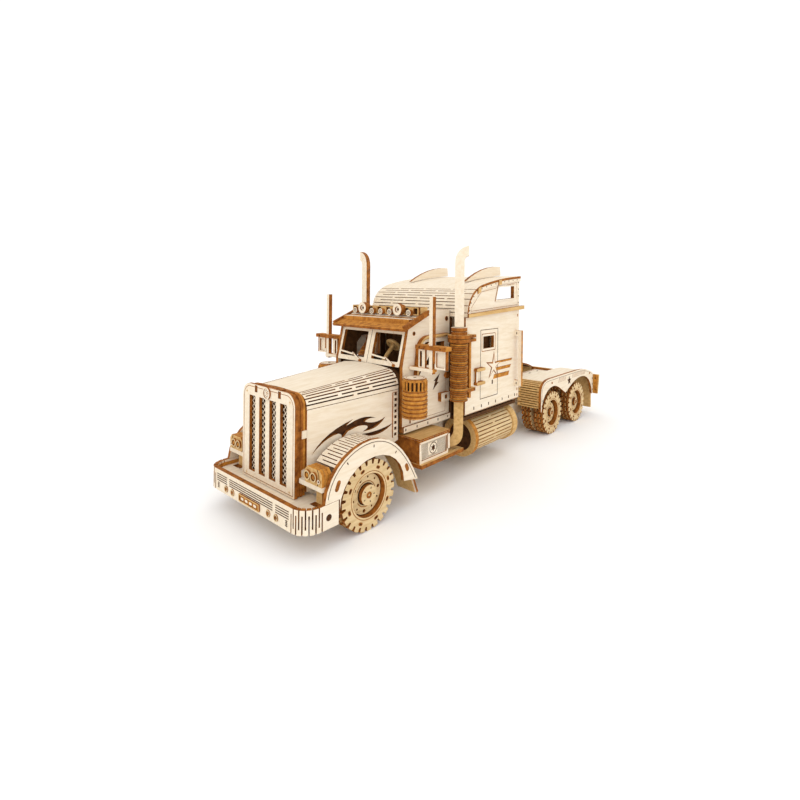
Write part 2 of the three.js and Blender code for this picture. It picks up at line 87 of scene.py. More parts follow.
def make_camera():
    data = bpy.data.cameras.new("camera")
    data.lens, data.sensor_width = LENS, SENSOR
    data.shift_x, data.shift_y = SHIFT
    data.clip_start, data.clip_end = 0.01, 20
    camera = put("camera", data)
    ahead = Vector((math.cos(YAW), math.sin(YAW), 0)) * math.cos(PITCH) - Vector((0, 0, math.sin(PITCH)))
    right = Vector((math.sin(YAW), -math.cos(YAW), 0))
    up = right.cross(ahead)
    turn = Matrix((right, up, -ahead)).transposed() @ Matrix.Rotation(ROLL, 3, "Z")
    place = CAMERA_AT + Vector((FRONT_AXLE, 0, 0))
    camera.matrix_world = Matrix.Translation(place * MM) @ turn.to_4x4()
    bpy.context.scene.camera = camera


make_camera()


# ---- materials ----
def material(name, rough=0.6):
    made = bpy.data.materials.new(name)
    made.use_nodes = True
    sockets = made.node_tree.nodes["Principled BSDF"].inputs
    sockets["Roughness"].default_value = rough
    sockets["Specular IOR Level"].default_value = 0.12
    return made


def link(tree, a, out, b, into):
    tree.links.new(a.outputs[out], b.inputs[into])


def streaks(tree, scale, detail, rough, stops):
    """Noise in object coordinates, scaled along x, y and z, and its colour between two stops."""
    where = tree.nodes.new("ShaderNodeTexCoord")
    mapping = tree.nodes.new("ShaderNodeMapping")
    mapping.inputs["Scale"].default_value = scale
    link(tree, where, "Object", mapping, "Vector")
    made = tree.nodes.new("ShaderNodeTexNoise")
    made.inputs["Scale"].default_value = 1.0
    made.inputs["Detail"].default_value = detail
    made.inputs["Roughness"].default_value = rough
    link(tree, mapping, "Vector", made, "Vector")
    tone = tree.nodes.new("ShaderNodeValToRGB")
    for element, (at, color) in zip(tone.color_ramp.elements, stops):
        element.position = at
        element.color = (*color, 1)
    link(tree, made, "Fac", tone, "Fac")
    return made, tone


def grain(tree, pale, deep):
    """Long soft grain with fine pores."""
    return streaks(tree, (90, 630, 630), 6, 0.6, [(0.3, deep), (0.62, pale)])


def scorch(tree, pale, deep):
    """Laser-cut edge with the streaks of the plies."""
    return streaks(tree, (350, 350, 350), 5, 0.65, [(0.32, deep), (0.66, pale)])


def plain_wood(name, pattern, pale, deep, rough, relief):
    made = material(name, rough)
    tree = made.node_tree
    shader = tree.nodes["Principled BSDF"]
    source, tone = pattern(tree, pale, deep)
    link(tree, tone, "Color", shader, "Base Color")
    bump = tree.nodes.new("ShaderNodeBump")
    bump.inputs["Strength"].default_value = 1.0
    bump.inputs["Distance"].default_value = relief
    link(tree, source, "Fac", bump, "Height")
    link(tree, bump, "Normal", shader, "Normal")
    return made


def wood_face(name, pale, deep):
    return plain_wood(name, grain, pale, deep, 0.62, 0.00006)


def cut_edge(name, pale, deep, rough=0.7):
    return plain_wood(name, scorch, pale, deep, rough, 0.00008)


# pale and deep tone of a face, and of a cut edge
FACE_TONES = ((0.85, 0.74, 0.585), (0.77, 0.635, 0.455))
EDGE_TONES = ((0.44, 0.155, 0.024), (0.15, 0.042, 0.007))
FACE = wood_face("birch_face", *FACE_TONES)
EDGE = cut_edge("scorched_edge", *EDGE_TONES)
# near-black: the colour of laser-engraved marks, and also painted shade where a sheet of it lies under the
# hood's slits
BURN_AND_SHADE = cut_edge("engraved_line_and_shade", (0.10, 0.038, 0.012), (0.035, 0.013, 0.005), 0.85)
TAN = wood_face("tan_face", (0.68, 0.44, 0.18), (0.50, 0.28, 0.09))
GOLD = cut_edge("glued_layers", (0.62, 0.27, 0.045), (0.30, 0.10, 0.014))
WARM = wood_face("warm_face", (0.71, 0.53, 0.29), (0.56, 0.385, 0.18))
DOWEL = wood_face("dowel", (0.74, 0.55, 0.33), (0.60, 0.41, 0.21))
# painted shade: near-black ply for interior walls, linings and backings, standing in for the unlit insides
# of cab, sleeper and arches
PAINTED_SHADE = cut_edge("shaded_ply", (0.13, 0.055, 0.018), (0.06, 0.024, 0.008), 0.85)
PALETTE = [FACE, EDGE, BURN_AND_SHADE, TAN, GOLD, WARM, DOWEL, PAINTED_SHADE]
SLOT_OF = {"light_ply": FACE, "tan_ply": TAN, "stacked_edges": EDGE, "tyre_ply": FACE, "dowel": DOWEL}


def sheet_material(axis):
    """Face colour where the surface looks along the axis, scorched edge elsewhere."""
    made = material(f"sheet_{axis}", 0.65)
    tree = made.node_tree
    face = grain(tree, *FACE_TONES)[1]
    edge = scorch(tree, *EDGE_TONES)[1]
    where = tree.nodes.new("ShaderNodeTexCoord")
    split = tree.nodes.new("ShaderNodeSeparateXYZ")
    link(tree, where, "Normal", split, "Vector")
    size = tree.nodes.new("ShaderNodeMath")
    size.operation = "ABSOLUTE"
    link(tree, split, axis, size, 0)
    flat = tree.nodes.new("ShaderNodeMath")
    flat.operation = "GREATER_THAN"
    flat.inputs[1].default_value = 0.6
    link(tree, size, 0, flat, 0)
    mix = tree.nodes.new("ShaderNodeMix")
    mix.data_type = "RGBA"
    link(tree, flat, 0, mix, "Factor")
    link(tree, edge, "Color", mix, 6)
    link(tree, face, "Color", mix, 7)
    link(tree, mix, 2, tree.nodes["Principled BSDF"], "Base Color")
    return made


SHEET = {axis: sheet_material(axis) for axis in "XYZ"}


# ---- outlines ----
def rect(u0, v0, u1, v1):
    return [(u0, v0), (u1, v0), (u1, v1), (u0, v1)]


def arc(u, v, radius, start, end, steps=12):
    turns = [math.radians(start + (end - start) * i / steps) for i in range(steps + 1)]
    return [(u + radius * math.cos(t), v + radius * math.sin(t)) for t in turns]


def circle(u, v, radius, steps=24):
    return arc(u, v, radius, 0, 360, steps)[:-1]


def washer(u, v, radius, hole, steps, hole_steps):
    return [circle(u, v, radius, steps), circle(u, v, hole, hole_steps)]


def arc_band(u, v, radius, width, start, end, steps=16):
    outer = arc(u, v, radius + width / 2, start, end, steps)
    return outer + arc(u, v, radius - width / 2, end, start, steps)


def line(u0, v0, u1, v1, width=0.4):
    """Thin bar from one point to another."""
    along = Vector((u1 - u0, v1 - v0)).normalized() * width / 2
    a, b = -along.y, along.x
    return [(u0 + a, v0 + b), (u1 + a, v1 + b), (u1 - a, v1 - b), (u0 - a, v0 - b)]


def oval(u, v, length, width, turn=0):
    """Slot with round ends."""
    radius, half = width / 2, (length - width) / 2
    loop = arc(half, 0, radius, -90, 90, 6) + arc(-half, 0, radius, 90, 270, 6)
    c, s = math.cos(math.radians(turn)), math.sin(math.radians(turn))
    return [(u + a * c - b * s, v + a * s + b * c) for a, b in loop]


def rounded(u0, v0, u1, v1, radius):
    corners = [(u1 - radius, v0 + radius, -90), (u1 - radius, v1 - radius, 0),
               (u0 + radius, v1 - radius, 90), (u0 + radius, v0 + radius, 180)]
    return [point for u, v, turn in corners for point in arc(u, v, radius, turn, turn + 90, 4)]


def star(u, v, big, small, turn=90, tips=5):
    points = []
    for i in range(2 * tips):
        angle = math.radians(turn + 180 * i / tips)
        radius = big if i % 2 == 0 else small
        points.append((u + radius * math.cos(angle), v + radius * math.sin(angle)))
    return points


def bezier(a, b, c, d, steps=8):
    a, b, c, d = (Vector(point) for point in (a, b, c, d))
    curve = []
    for i in range(steps + 1):
        t = i / steps
        curve.append(tuple(a * (1 - t)**3 + 3 * b * t * (1 - t)**2 + 3 * c * t * t * (1 - t) + d * t**3))
    return curve


# Places: a sheet standing along the truck, across it, or lying level.
def along(y=0):
    return lambda u, v, w: (u, y + w, v)


def across(x=0):
    return lambda u, v, w: (x + w, u, v)


def level(z=0):
    return lambda u, v, w: (u, v, z + w)


def behind(x=0):
    """Like across, for a face that looks to the rear."""
    return lambda u, v, w: (x - w, u, v)


def lengthwise(u, v, w):
    """Section across the truck, drawn out along x."""
    return w, u, v


class Curve:
    """Open 2D curve measured along its length; its left side is the inside."""

    def __init__(self, points):
        self.points = [Vector(point) for point in points]
        self.marks = [0.0]
        for a, b in zip(self.points, self.points[1:]):
            self.marks.append(self.marks[-1] + (b - a).length)
        self.length = self.marks[-1]
        self.normals = []
        for i in range(len(self.points)):
            ahead = self.points[min(i + 1, len(self.points) - 1)] - self.points[max(i - 1, 0)]
            self.normals.append(Vector((-ahead.y, ahead.x)).normalized())

    def at(self, s, depth=0.0):
        s = min(max(s, 0.0), self.length)
        i = max(k for k, mark in enumerate(self.marks[:-1]) if mark <= s + 1e-9)
        t = (s - self.marks[i]) / (self.marks[i + 1] - self.marks[i])
        normal = self.normals[i].lerp(self.normals[i + 1], t)
        return self.points[i].lerp(self.points[i + 1], t) + normal * depth

    def offset(self, depth, stops=None):
        return [tuple(self.at(s, depth)) for s in stops or self.marks]

    def band(self, near, far, stops=None):
        """Closed strip between two depths."""
        return self.offset(near, stops) + self.offset(far, stops)[::-1]


def distinct(values, least=0.03):
    kept = []
    for value in sorted(values):
        if not kept or value - kept[-1] > least:
            kept.append(value)
    return kept


# ---- a gatherer for wooden pieces ----
class Wood:
    """One piece in truck millimetres. side = -1 mirrors it to the truck's right."""

    def __init__(self, name, side=1):
        self.name, self.side = name, side
        self.points, self.faces, self.kinds = [], [], []

    def add(self, points, faces, kinds):
        start = len(self.points)
        self.points += [(x, self.side * y, z) for x, y, z in points]
        self.faces += [[start + corner for corner in face] for face in faces]
        self.kinds += kinds

    def ply(self, loops, place, low, high, face=FACE, edge=EDGE):
        """Sheet cut to the loops, an outline and its holes; place(u, v, w) gives each point."""
        flat = [point for loop in loops for point in loop]
        caps = tessellate_polygon([[Vector((u, v, 0)) for u, v in loop] for loop in loops])
        count = len(flat)
        points = [place(u, v, low) for u, v in flat] + [place(u, v, high) for u, v in flat]
        faces = [tuple(cap) for cap in caps] + [tuple(count + i for i in cap[::-1]) for cap in caps]
        kinds = [face] * len(faces)
        start = 0
        for loop in loops:
            size = len(loop)
            for i in range(size):
                a, b = start + i, start + (i + 1) % size
                faces.append((a, b, count + b, count + a))
                kinds.append(edge)
            start += size
        self.add(points, faces, kinds)

    def marks(self, loops, place, at=0, deep=0.08, kind=BURN_AND_SHADE):
        """Laser-burnt marks, each a thin inlay that stands deep above the surface at w = at."""
        for loop in loops:
            self.ply([loop], place, at - 0.02, at + deep, kind, kind)

    def on(self, place):
        """The two ways to work on one face: lay a sheet there, or burn marks."""
        def sheet(loops, low, high, *tones):
            self.ply(loops, place, low, high, *tones)

        def mark(loops, *rest, **named):
            self.marks(loops, place, *rest, **named)

        return sheet, mark

    def drum(self, u, v, place, layers, steps=28):
        """Stack of discs on one axis: (radius, low, high) each, and its tones if they differ."""
        for radius, low, high, *tones in layers:
            self.ply([circle(u, v, radius, steps)], place, low, high, *tones)

    def grid(self, us, vs, outer, inner, slits, face=FACE, edge=EDGE):
        """Sheet over a grid of cells, outer(u, v) to inner(u, v), open in the slits (u0, u1, v0, v1)."""
        closed = set()
        for i in range(len(us) - 1):
            u = (us[i] + us[i + 1]) / 2
            near = [slit for slit in slits if slit[0] < u < slit[1]]
            for j in range(len(vs) - 1):
                v = (vs[j] + vs[j + 1]) / 2
                if not any(slit[2] < v < slit[3] for slit in near):
                    closed.add((i, j))
        points, index, faces, kinds = [], {}, [], []

        def corner(i, j, layer):
            key = (i, j, layer)
            if key not in index:
                index[key] = len(points)
                points.append((inner if layer else outer)(us[i], vs[j]))
            return index[key]

        for i, j in closed:
            ring = [(i, j), (i + 1, j), (i + 1, j + 1), (i, j + 1)]
            faces.append([corner(a, b, 0) for a, b in ring])
            faces.append([corner(a, b, 1) for a, b in reversed(ring)])
            kinds += [face, face]
            beyond = [(i, j - 1), (i + 1, j), (i, j + 1), (i - 1, j)]
            for k, cell in enumerate(beyond):
                if cell not in closed:
                    a, b = ring[k], ring[(k + 1) % 4]
                    faces.append([corner(*a, 0), corner(*a, 1), corner(*b, 1), corner(*b, 0)])
                    kinds.append(edge)
        self.add(points, faces, kinds)

    def bent(self, path, place, thick, low, high, slits=(), face=FACE, edge=EDGE):
        """Sheet bent along a 2D path and low..high wide; slits are (s0, s1, t0, t1)."""
        curve = Curve(path)
        us = distinct([*curve.marks, *(s for slit in slits for s in slit[:2])])
        vs = distinct([low, high, *(t for slit in slits for t in slit[2:])])
        self.grid(us, vs, lambda s, t: place(*curve.at(s), t), lambda s, t: place(*curve.at(s, thick), t),
                  slits, face, edge)

    def done(self, *replaces, body="root", slot="light_ply"):
        mesh = bpy.data.meshes.new(self.name)
        shift = Vector((FRONT_AXLE, 0, 0))
        mesh.from_pydata([(Vector(point) + shift) * MM for point in self.points], [], self.faces)
        used = [made for made in PALETTE if made in self.kinds]
        for made in used:
            mesh.materials.append(made)
        for polygon, kind in zip(mesh.polygons, self.kinds):
            polygon.material_index = used.index(kind)
        shape = bmesh.new()
        shape.from_mesh(mesh)
        bmesh.ops.recalc_face_normals(shape, faces=shape.faces)
        shape.to_mesh(mesh)
        shape.free()
        piece = put(self.name, mesh)
        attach(piece, body)
        if replaces:
            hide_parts(*replaces)


SIDES = ((1, "left"), (-1, "right"))


def once(name, build, node, swap=True, slot="light_ply", side=1, box=None):
    """Builds a piece by the box of a CAD node, whose place it takes if swap is true."""
    wood = Wood(name, side)
    build(wood, *span(box or node))
    wood.done(*([node] if swap else []), slot=slot)


def both(name, build, node, swap=True, slot="light_ply"):
    """Builds a piece on the left and its mirror on the right."""
    for side, word in SIDES:
        once(f"{name}_{word}", build, f"{node}_{word}", swap, slot, side, f"{node}_left")


# ---- CAD nodes that keep their shape ----
def dress_frame():
    record = frame["record"]
    slots = {part["node"]: part["material_slot"] for part in record["subparts"]}
    thin = {"X": ("sleeper_rear_wall",),
            "Y": ("frame_rail", "cab_side", "front_fender_plate", "sleeper_side", "roof_fin",
                  "rear_fender_plate"),
            "Z": ("frame_deck", "bumper_shelf", "cab_roof")}
    # painted shade: these interior nodes take the near-black shade colour, for the unlit inside of the cab
    dark = ("firewall", "cab_rear_wall", "body_floor", "seat_bench")
    for name, node in frame["nodes"].items():
        node.data.materials.clear()
        chosen = SLOT_OF[slots[name]]
        for axis, starts in thin.items():
            if name.startswith(starts):
                chosen = SHEET[axis]
        if name in dark:
            chosen = PAINTED_SHADE
        # painted shade: the steering wheel inside the cab takes the darker tan for the shade there
        if name == "steering_wheel":
            chosen = TAN
        node.data.materials.append(chosen)


dress_frame()


# ---- bumper ----
BUMPER_CORNER = 8.3


def bumper_path(low, high):
    x, y = high.x - BUMPER_CORNER, high.y - BUMPER_CORNER
    return ([(low.x, low.y)] + arc(x, -y, BUMPER_CORNER, -90, 0, 12)
            + arc(x, y, BUMPER_CORNER, 0, 90, 12) + [(low.x, high.y)])


def bumper(wood, low, high):
    curve = Curve(bumper_path(low, high))
    straight = high.x - BUMPER_CORNER - low.x
    bend = math.pi / 2 * BUMPER_CORNER
    slits = []
    for first in (straight - 0.5, curve.length - straight - bend - 0.5):
        for i in range(11):
            s = first + i * (bend + 1) / 10
            ends = (low.z + 1.3, high.z + 1) if i % 2 else (low.z - 1, high.z - 1.3)
            slits.append((s - 0.32, s + 0.32, *ends))
    wood.bent(curve.points, level(), 2.2, low.z, high.z, slits)
    shelf = span("bumper_shelf")[1].z
    wood.bent(curve.offset(2.25), level(), 0.2, shelf + 0.1, high.z - 0.1, (), GOLD, GOLD)
    sheet, mark = wood.on(across(high.x))
    groups = ((-30.6, -20.8), (-18.6, 18.6), (20.8, 30.6))
    mark([rect(a, z, b, z + 0.38) for a, b in groups for z in (18.1, 17.1, 16.1, 15.1)])
    for y in (-21.4, -15.4, 15.4, 21.4):
        sheet(washer(y, 13, 1.6, 1.1, 20, 20), 0, 0.35, WARM)
        sheet([circle(y, 13, 0.7, 12)], 0, 0.3, EDGE, BURN_AND_SHADE)
    for y in (-29, 29):
        mark([rect(y - 0.16, 11.7, y + 0.16, 14.4)])
        mark([rect(y - 0.8, z, y + 0.8, z + 0.3) for z in (11.9, 12.6, 13.3, 14.0)])
    for edge in (-1, 1):
        hole = [circle(23.6, 14.9, 1.4, 16)]
        wood.ply(hole, along(), edge * high.y - 0.06, edge * high.y + 0.06, BURN_AND_SHADE, BURN_AND_SHADE)


def name_plate(wood, low, high):
    """Plain plate with a raised border, where a real kit has a lettered one."""
    sheet, _ = wood.on(across(high.x))
    plate, inside = rounded(-8.8, 11.4, 8.8, 14.8, 0.5), rounded(-8.2, 11.9, 8.2, 14.3, 0.4)
    sheet([plate], 0, 0.3, GOLD)
    sheet([plate, inside], 0.3, 0.7, TAN)
    for y in (-5.4, -1.8, 1.8, 5.4):
        sheet([oval(y, 13.1, 2.4, 1.2)], 0.3, 0.65)


once("bumper", bumper, "bumper_skin")
once("bumper_plate", name_plate, "bumper_skin", swap=False)


# ---- grille ----
def arched(half, low, top, corner):
    return ([(-half, low), (half, low)] + arc(half - corner, top - corner, corner, 0, 90, 8)
            + arc(corner - half, top - corner, corner, 90, 180, 8))


SLOT_CENTRES = (-13.2, -4.4, 4.4, 13.2)


def grille_plate(wood, low, high):
    slots = [rect(y - 2.7, 21.5, y + 2.7, 57.8) for y in SLOT_CENTRES]
    tabs = [rect(y - 1.15, high.z - 3.6, y + 1.15, high.z - 0.35) for y in (-9.9, 9.9)]
    wood.ply([arched(high.y, low.z, high.z, 6), *slots, *tabs], across(), low.x, high.x)
    rim = [arched(high.y - 1.1, low.z + 0.9, high.z - 1.1, 5.2),
           arched(high.y - 1.35, low.z + 1.15, high.z - 1.35, 5)]
    wood.ply(rim, across(), high.x - 0.02, high.x + 0.06, EDGE)
    for y in (-9.9, 9.9):
        wood.ply([rect(y - 1.0, high.z - 3.4, y + 1.0, high.z + 0.4)], across(), low.x - 1, high.x - 0.3,
                   EDGE)
    for y, z in ((-18.2, 59.3), (18.2, 59.3), (-18.2, 19.9), (18.2, 19.9)):
        wood.marks([rect(y - 0.8, z - 0.15, y + 0.8, z + 0.15), rect(y - 0.15, z - 0.8, y + 0.15, z + 0.8)],
                   across(high.x), 0, 0.05, TAN)


def grille_badge(wood, low, high):
    """Plain round boss with a ring of dots."""
    z = 60.7
    sheet, mark = wood.on(across(high.x))
    sheet(washer(0, z, 2.9, 2.3, 28, 28), 0, 0.8)
    sheet([circle(0, z, 2.25, 28)], 0, 0.5)
    mark([circle(1.5 * math.cos(t * math.pi / 4), z + 1.5 * math.sin(t * math.pi / 4), 0.22, 8)
          for t in range(8)], 0.5)
    sheet([circle(0, z, 0.7, 14)], 0.5, 0.8)


def lattice(wood, low, high):
    """Diamond mesh behind the slots."""
    columns, rows, wide, tall = 14, 14, 0.98, 1.1
    across_step, up_step = (high.y - low.y) / columns, (high.z - low.z) / rows
    holes = []
    for i in range(2 * columns - 1):
        for j in range(2 * rows - 1):
            if (i + j) % 2:
                continue
            y, z = low.y + (i + 1) * across_step / 2, low.z + (j + 1) * up_step / 2
            holes.append([(y - wide, z), (y, z - tall), (y + wide, z), (y, z + tall)])
    wood.ply([rect(low.y, low.z, high.y, high.z), *holes], across(), low.x, high.x, FACE, BURN_AND_SHADE)


def grille_stack(wood, low, high):
    """Three framed layers behind the plate, the middle one a little larger, and two tabs at each side for
    the hood sides.
    """
    layer = (high.x - low.x) / 3
    window = rect(-19, 20, 19, 59)
    for i in range(3):
        grow = 0.35 if i == 1 else 0
        frame_loop = arched(high.y - 0.35 + grow, low.z, high.z - 0.35 + grow, 6)
        tone = GOLD if i == 0 else EDGE
        near = low.x + i * layer
        wood.ply([frame_loop, window], across(near), 0.06, layer - 0.06, tone, tone)
    for side in (-1, 1):
        for z0, z1 in ((43.2, 46.6), (25.6, 29.4)):
            tab = rect(side * 19.5, z0, side * (high.y + 0.5), z1)
            wood.ply([tab], across(low.x), -0.2, 2.1, FACE, FACE)


once("grille_plate", grille_plate, "grille_front_plate")
once("grille_boss", grille_badge, "grille_front_plate", swap=False)
once("grille_mesh", lattice, "grille_lattice")
once("grille_layers", grille_stack, "grille_surround", slot="stacked_edges")


# ---- hood ----
def hood_section(half, low, top, corner, crown):
    crest = [((half - corner) * (1 - 2 * t), top + 4 * crown * t * (1 - t)) for t in
             (i / 8 for i in range(1, 8))]
    return Curve([(half, low)] + arc(half - corner, top - corner, corner, 0, 90, 8) + crest
                 + arc(corner - half, top - corner, corner, 90, 180, 8) + [(-half, low)])


FRONT_HALF, REAR_HALF = 21.9, 25.6
HOOD_FRONT = hood_section(FRONT_HALF, 55.6, 62, 6, 0.7)
HOOD_REAR = hood_section(REAR_HALF, 56.9, 67, 9, 1)


def hood_point(u, v, depth=0.0):
    """u runs across the hood from 0 to 1, v from the front to the rear from 0 to 1."""
    low, high = span("hood_top_sheet")
    a = HOOD_FRONT.at(u * HOOD_FRONT.length, depth)
    b = HOOD_REAR.at(u * HOOD_REAR.length, depth)
    y, z = a.lerp(b, v)
    return high.x + (low.x - high.x) * v, y, z


def hood_top(wood, low, high):
    """Bent sheet with rows of hinge slits along both shoulders, over a near-black sheet of painted shade
    that shows through the slits.
    """
    slits = []
    for i in range(7):
        dashes = ((0.02, 0.31), (0.35, 0.65), (0.69, 0.98)) if i % 2 else ((-0.1, 0.47), (0.51, 1.1))
        for u in (0.035 + 0.029 * i, 0.965 - 0.029 * i):
            slits += [(u - 0.006, u + 0.006, a, b) for a, b in dashes]
    us = distinct([i / 40 for i in range(41)] + [s for slit in slits for s in slit[:2]], 0.0008)
    vs = distinct([0, 1] + [min(max(t, 0), 1) for slit in slits for t in slit[2:]], 0.001)
    wood.grid(us, vs, hood_point, lambda u, v: hood_point(u, v, 1.2), slits)
    # painted shade: a near-black sheet just under the hood sheet, for the unlit space under the hood seen
    # through the slits
    wood.grid([i / 40 for i in range(41)], [0.01, 0.99], lambda u, v: hood_point(u, v, 1.25),
              lambda u, v: hood_point(u, v, 1.5), [], BURN_AND_SHADE, BURN_AND_SHADE)


def swept_tongues():
    """Two swept tongues with hooked tips, drawn rearward from the sheet's front edge."""
    big = [(2.2, 34.6)]
    for b, c, d in (((7, 41.2), (15, 44.6), (25.4, 46.6)), ((23.5, 45.6), (22.2, 45), (21.4, 44.2)),
                    ((26, 45.6), (32, 48), (39.6, 44.4)), ((36.6, 45.2), (33.6, 45.2), (32.4, 43.9)),
                    ((36.5, 42.2), (41, 41.8), (45.6, 43.9)), ((42.5, 39.6), (36, 38.6), (31, 39.4)),
                    ((34.5, 40.2), (35.5, 41.4), (32, 42.2)), ((27.5, 43.2), (25, 41.6), (22.4, 41.4)),
                    ((21, 40.2), (20, 39.2), (18.4, 38.6)), ((18.9, 40), (18.6, 41), (16.6, 41.4)),
                    ((11.5, 41.2), (6.5, 38.6), (2.2, 34.6))):
        big += bezier(big[-1], b, c, d, 6)[1:]
    small = (bezier((29.4, 38.3), (35, 37.8), (42, 37.4), (51, 39.6), 10)
             + bezier((51, 39.6), (44, 34.9), (36, 34.9), (29.4, 38.3), 10)[1:-1])
    return [[(-s, z) for s, z in loop] for loop in (big[:-1], small)]


def hood_side(wood, low, high):
    turn = math.atan2(REAR_HALF - FRONT_HALF, high.x - low.x)

    def place(u, v, w):
        return (high.x + u * math.cos(turn) - w * math.sin(turn),
                FRONT_HALF - u * math.sin(turn) - 2 + w * math.cos(turn), v)

    length = high.x - low.x
    sheet, mark = wood.on(place)
    shape = [(0, 19), (0, 55.3), (-length, 56.6), (-length, 30), (-length + 14, 26), (-length + 22, 19)]
    sheet([shape, *swept_tongues()], 0, 2)
    sheet([rect(-53, 33.5, -1.2, 48.5)], 0.2, 0.6, BURN_AND_SHADE, BURN_AND_SHADE)
    sheet([rect(-length + 1.2, 32, -length + 4.2, 55.5)], 2, 2.7)
    mark([rect(-length + 1.9, z, -length + 3.4, z + 1.5) for z in range(33, 55, 3)], 2.7)


once("hood_sheet", hood_top, "hood_top_sheet")
both("hood_panel", hood_side, "hood_side")


# ---- front fenders and headlights ----
def fender_curve(steps=9):
    return (bezier((25.5, 20.5), (24.5, 33), (13, 41.3), (0, 41.3), steps)
            + bezier((0, 41.3), (-14, 41.3), (-24, 30), (-32, 14), steps)[1:])


def comb(start, end, pitch, low, high, width=0.5, root=2.0):
    """Hinge slits across a bent sheet, cut in turn from one side and from the other."""
    slits, row, s = [], 0, start
    while s < end:
        slits.append((s, s + width, *((low - 1, high - root) if row % 2 else (low + root, high + 1))))
        s += pitch
        row += 1
    return slits


def fender_skin(wood, low, high):
    curve = Curve(fender_curve(14)[6:] + [(-34.8, 7)])
    slits = comb(1.2, curve.length - 9, 1.75, low.y, high.y)
    wood.bent(curve.offset(1), along(), 1.2, low.y, high.y, slits)
    # painted shade: a thin tan sheet along the inner face of the bent skin, darker for the shade under the
    # fender
    wood.bent(curve.offset(2.25), along(), 0.25, low.y + 0.2, high.y - 0.2, (), TAN, TAN)


def fender_marks(wood, low, high):
    curve = Curve(fender_curve())
    _, mark = wood.on(along(high.y))
    stops = [2 + i * (curve.length - 4) / 40 for i in range(41)]
    mark([curve.band(1.1, 1.38, stops)])
    mark([oval(19.0, 26.4, 4.8, 2.0, 112), oval(-23.8, 22.1, 4.4, 2.1, 66)], kind=EDGE)
    mark([line(*curve.at(s, 2.4), *curve.at(s, 3.6), 0.5) for s in (20, 38, 56)])


def headlight(wood, low, high):
    """Twin lamps on a layered case; below it a light shelf and a post."""
    front, shelf_top = high.x - 1, 26.7
    case = [(27.2, shelf_top), (high.y, shelf_top), (high.y, high.z - 1.8), (high.y - 1.6, high.z),
            (28.2, high.z), (26.6, high.z - 1.6), (26.6, shelf_top + 0.8)]
    for near, tone in ((front - 4.9, GOLD), (front - 3.2, TAN), (front - 1.5, TAN)):
        wood.ply([case], across(), near, near + 1.45, tone, GOLD)
    sheet, mark = wood.on(across(front))
    for y in (29.2, 33.5):
        sheet(washer(y, 30.2, 2.1, 1.5, 20, 20), 0, 0.9, WARM)
        sheet([circle(y, 30.2, 0.85, 14)], 0, 0.7, GOLD, BURN_AND_SHADE)
    sheet([circle(36.7, 29.0, 0.9, 14), circle(36.7, 29.0, 0.5, 12)], 0, 0.4)
    mark([arc_band(31.4, 30.2, 5.2, 0.3, -40, 40, 8)])
    wood.ply([rect(low.x, low.y, front, high.y)], level(), shelf_top - 2, shelf_top, FACE, FACE)
    wood.ply([rect(31, low.z, 35, shelf_top - 1.5)], across(), front - 5.9, front - 2.9, TAN)


both("fender_ribs", fender_skin, "front_fender_skin")
both("fender_engraving", fender_marks, "front_fender_plate", swap=False)
both("twin_lamp", headlight, "headlight")


# ---- wheels ----
TEETH = 24
HUB_HIGH = centre("front_axle").z


def toothed(x, radius, root, shift=0.0):
    pitch = 360 / TEETH
    points = []
    for tooth in range(TEETH):
        for step, r in ((-0.30, radius), (0.30, radius), (0.37, root), (0.63, root)):
            angle = math.radians((tooth + step + shift) * pitch - 90)
            points.append((x + r * math.cos(angle), HUB_HIGH + r * math.sin(angle)))
    return points


def tyre(wood, x, low, high, window):
    """Five toothed layers; every second one is smaller and turned by half a tooth."""
    hub = (x, HUB_HIGH)
    layer = (high - low) / 5
    for i in range(5):
        hole = circle(*hub, window + (0.35 if i % 2 else 0), 36)
        rim = toothed(x, 14.8, 12.9, 0.5) if i % 2 else toothed(x, 15.95, 13.9)
        wood.ply([rim, hole], along(), low + i * layer, low + (i + 1) * layer, WARM if i == 4 else TAN)


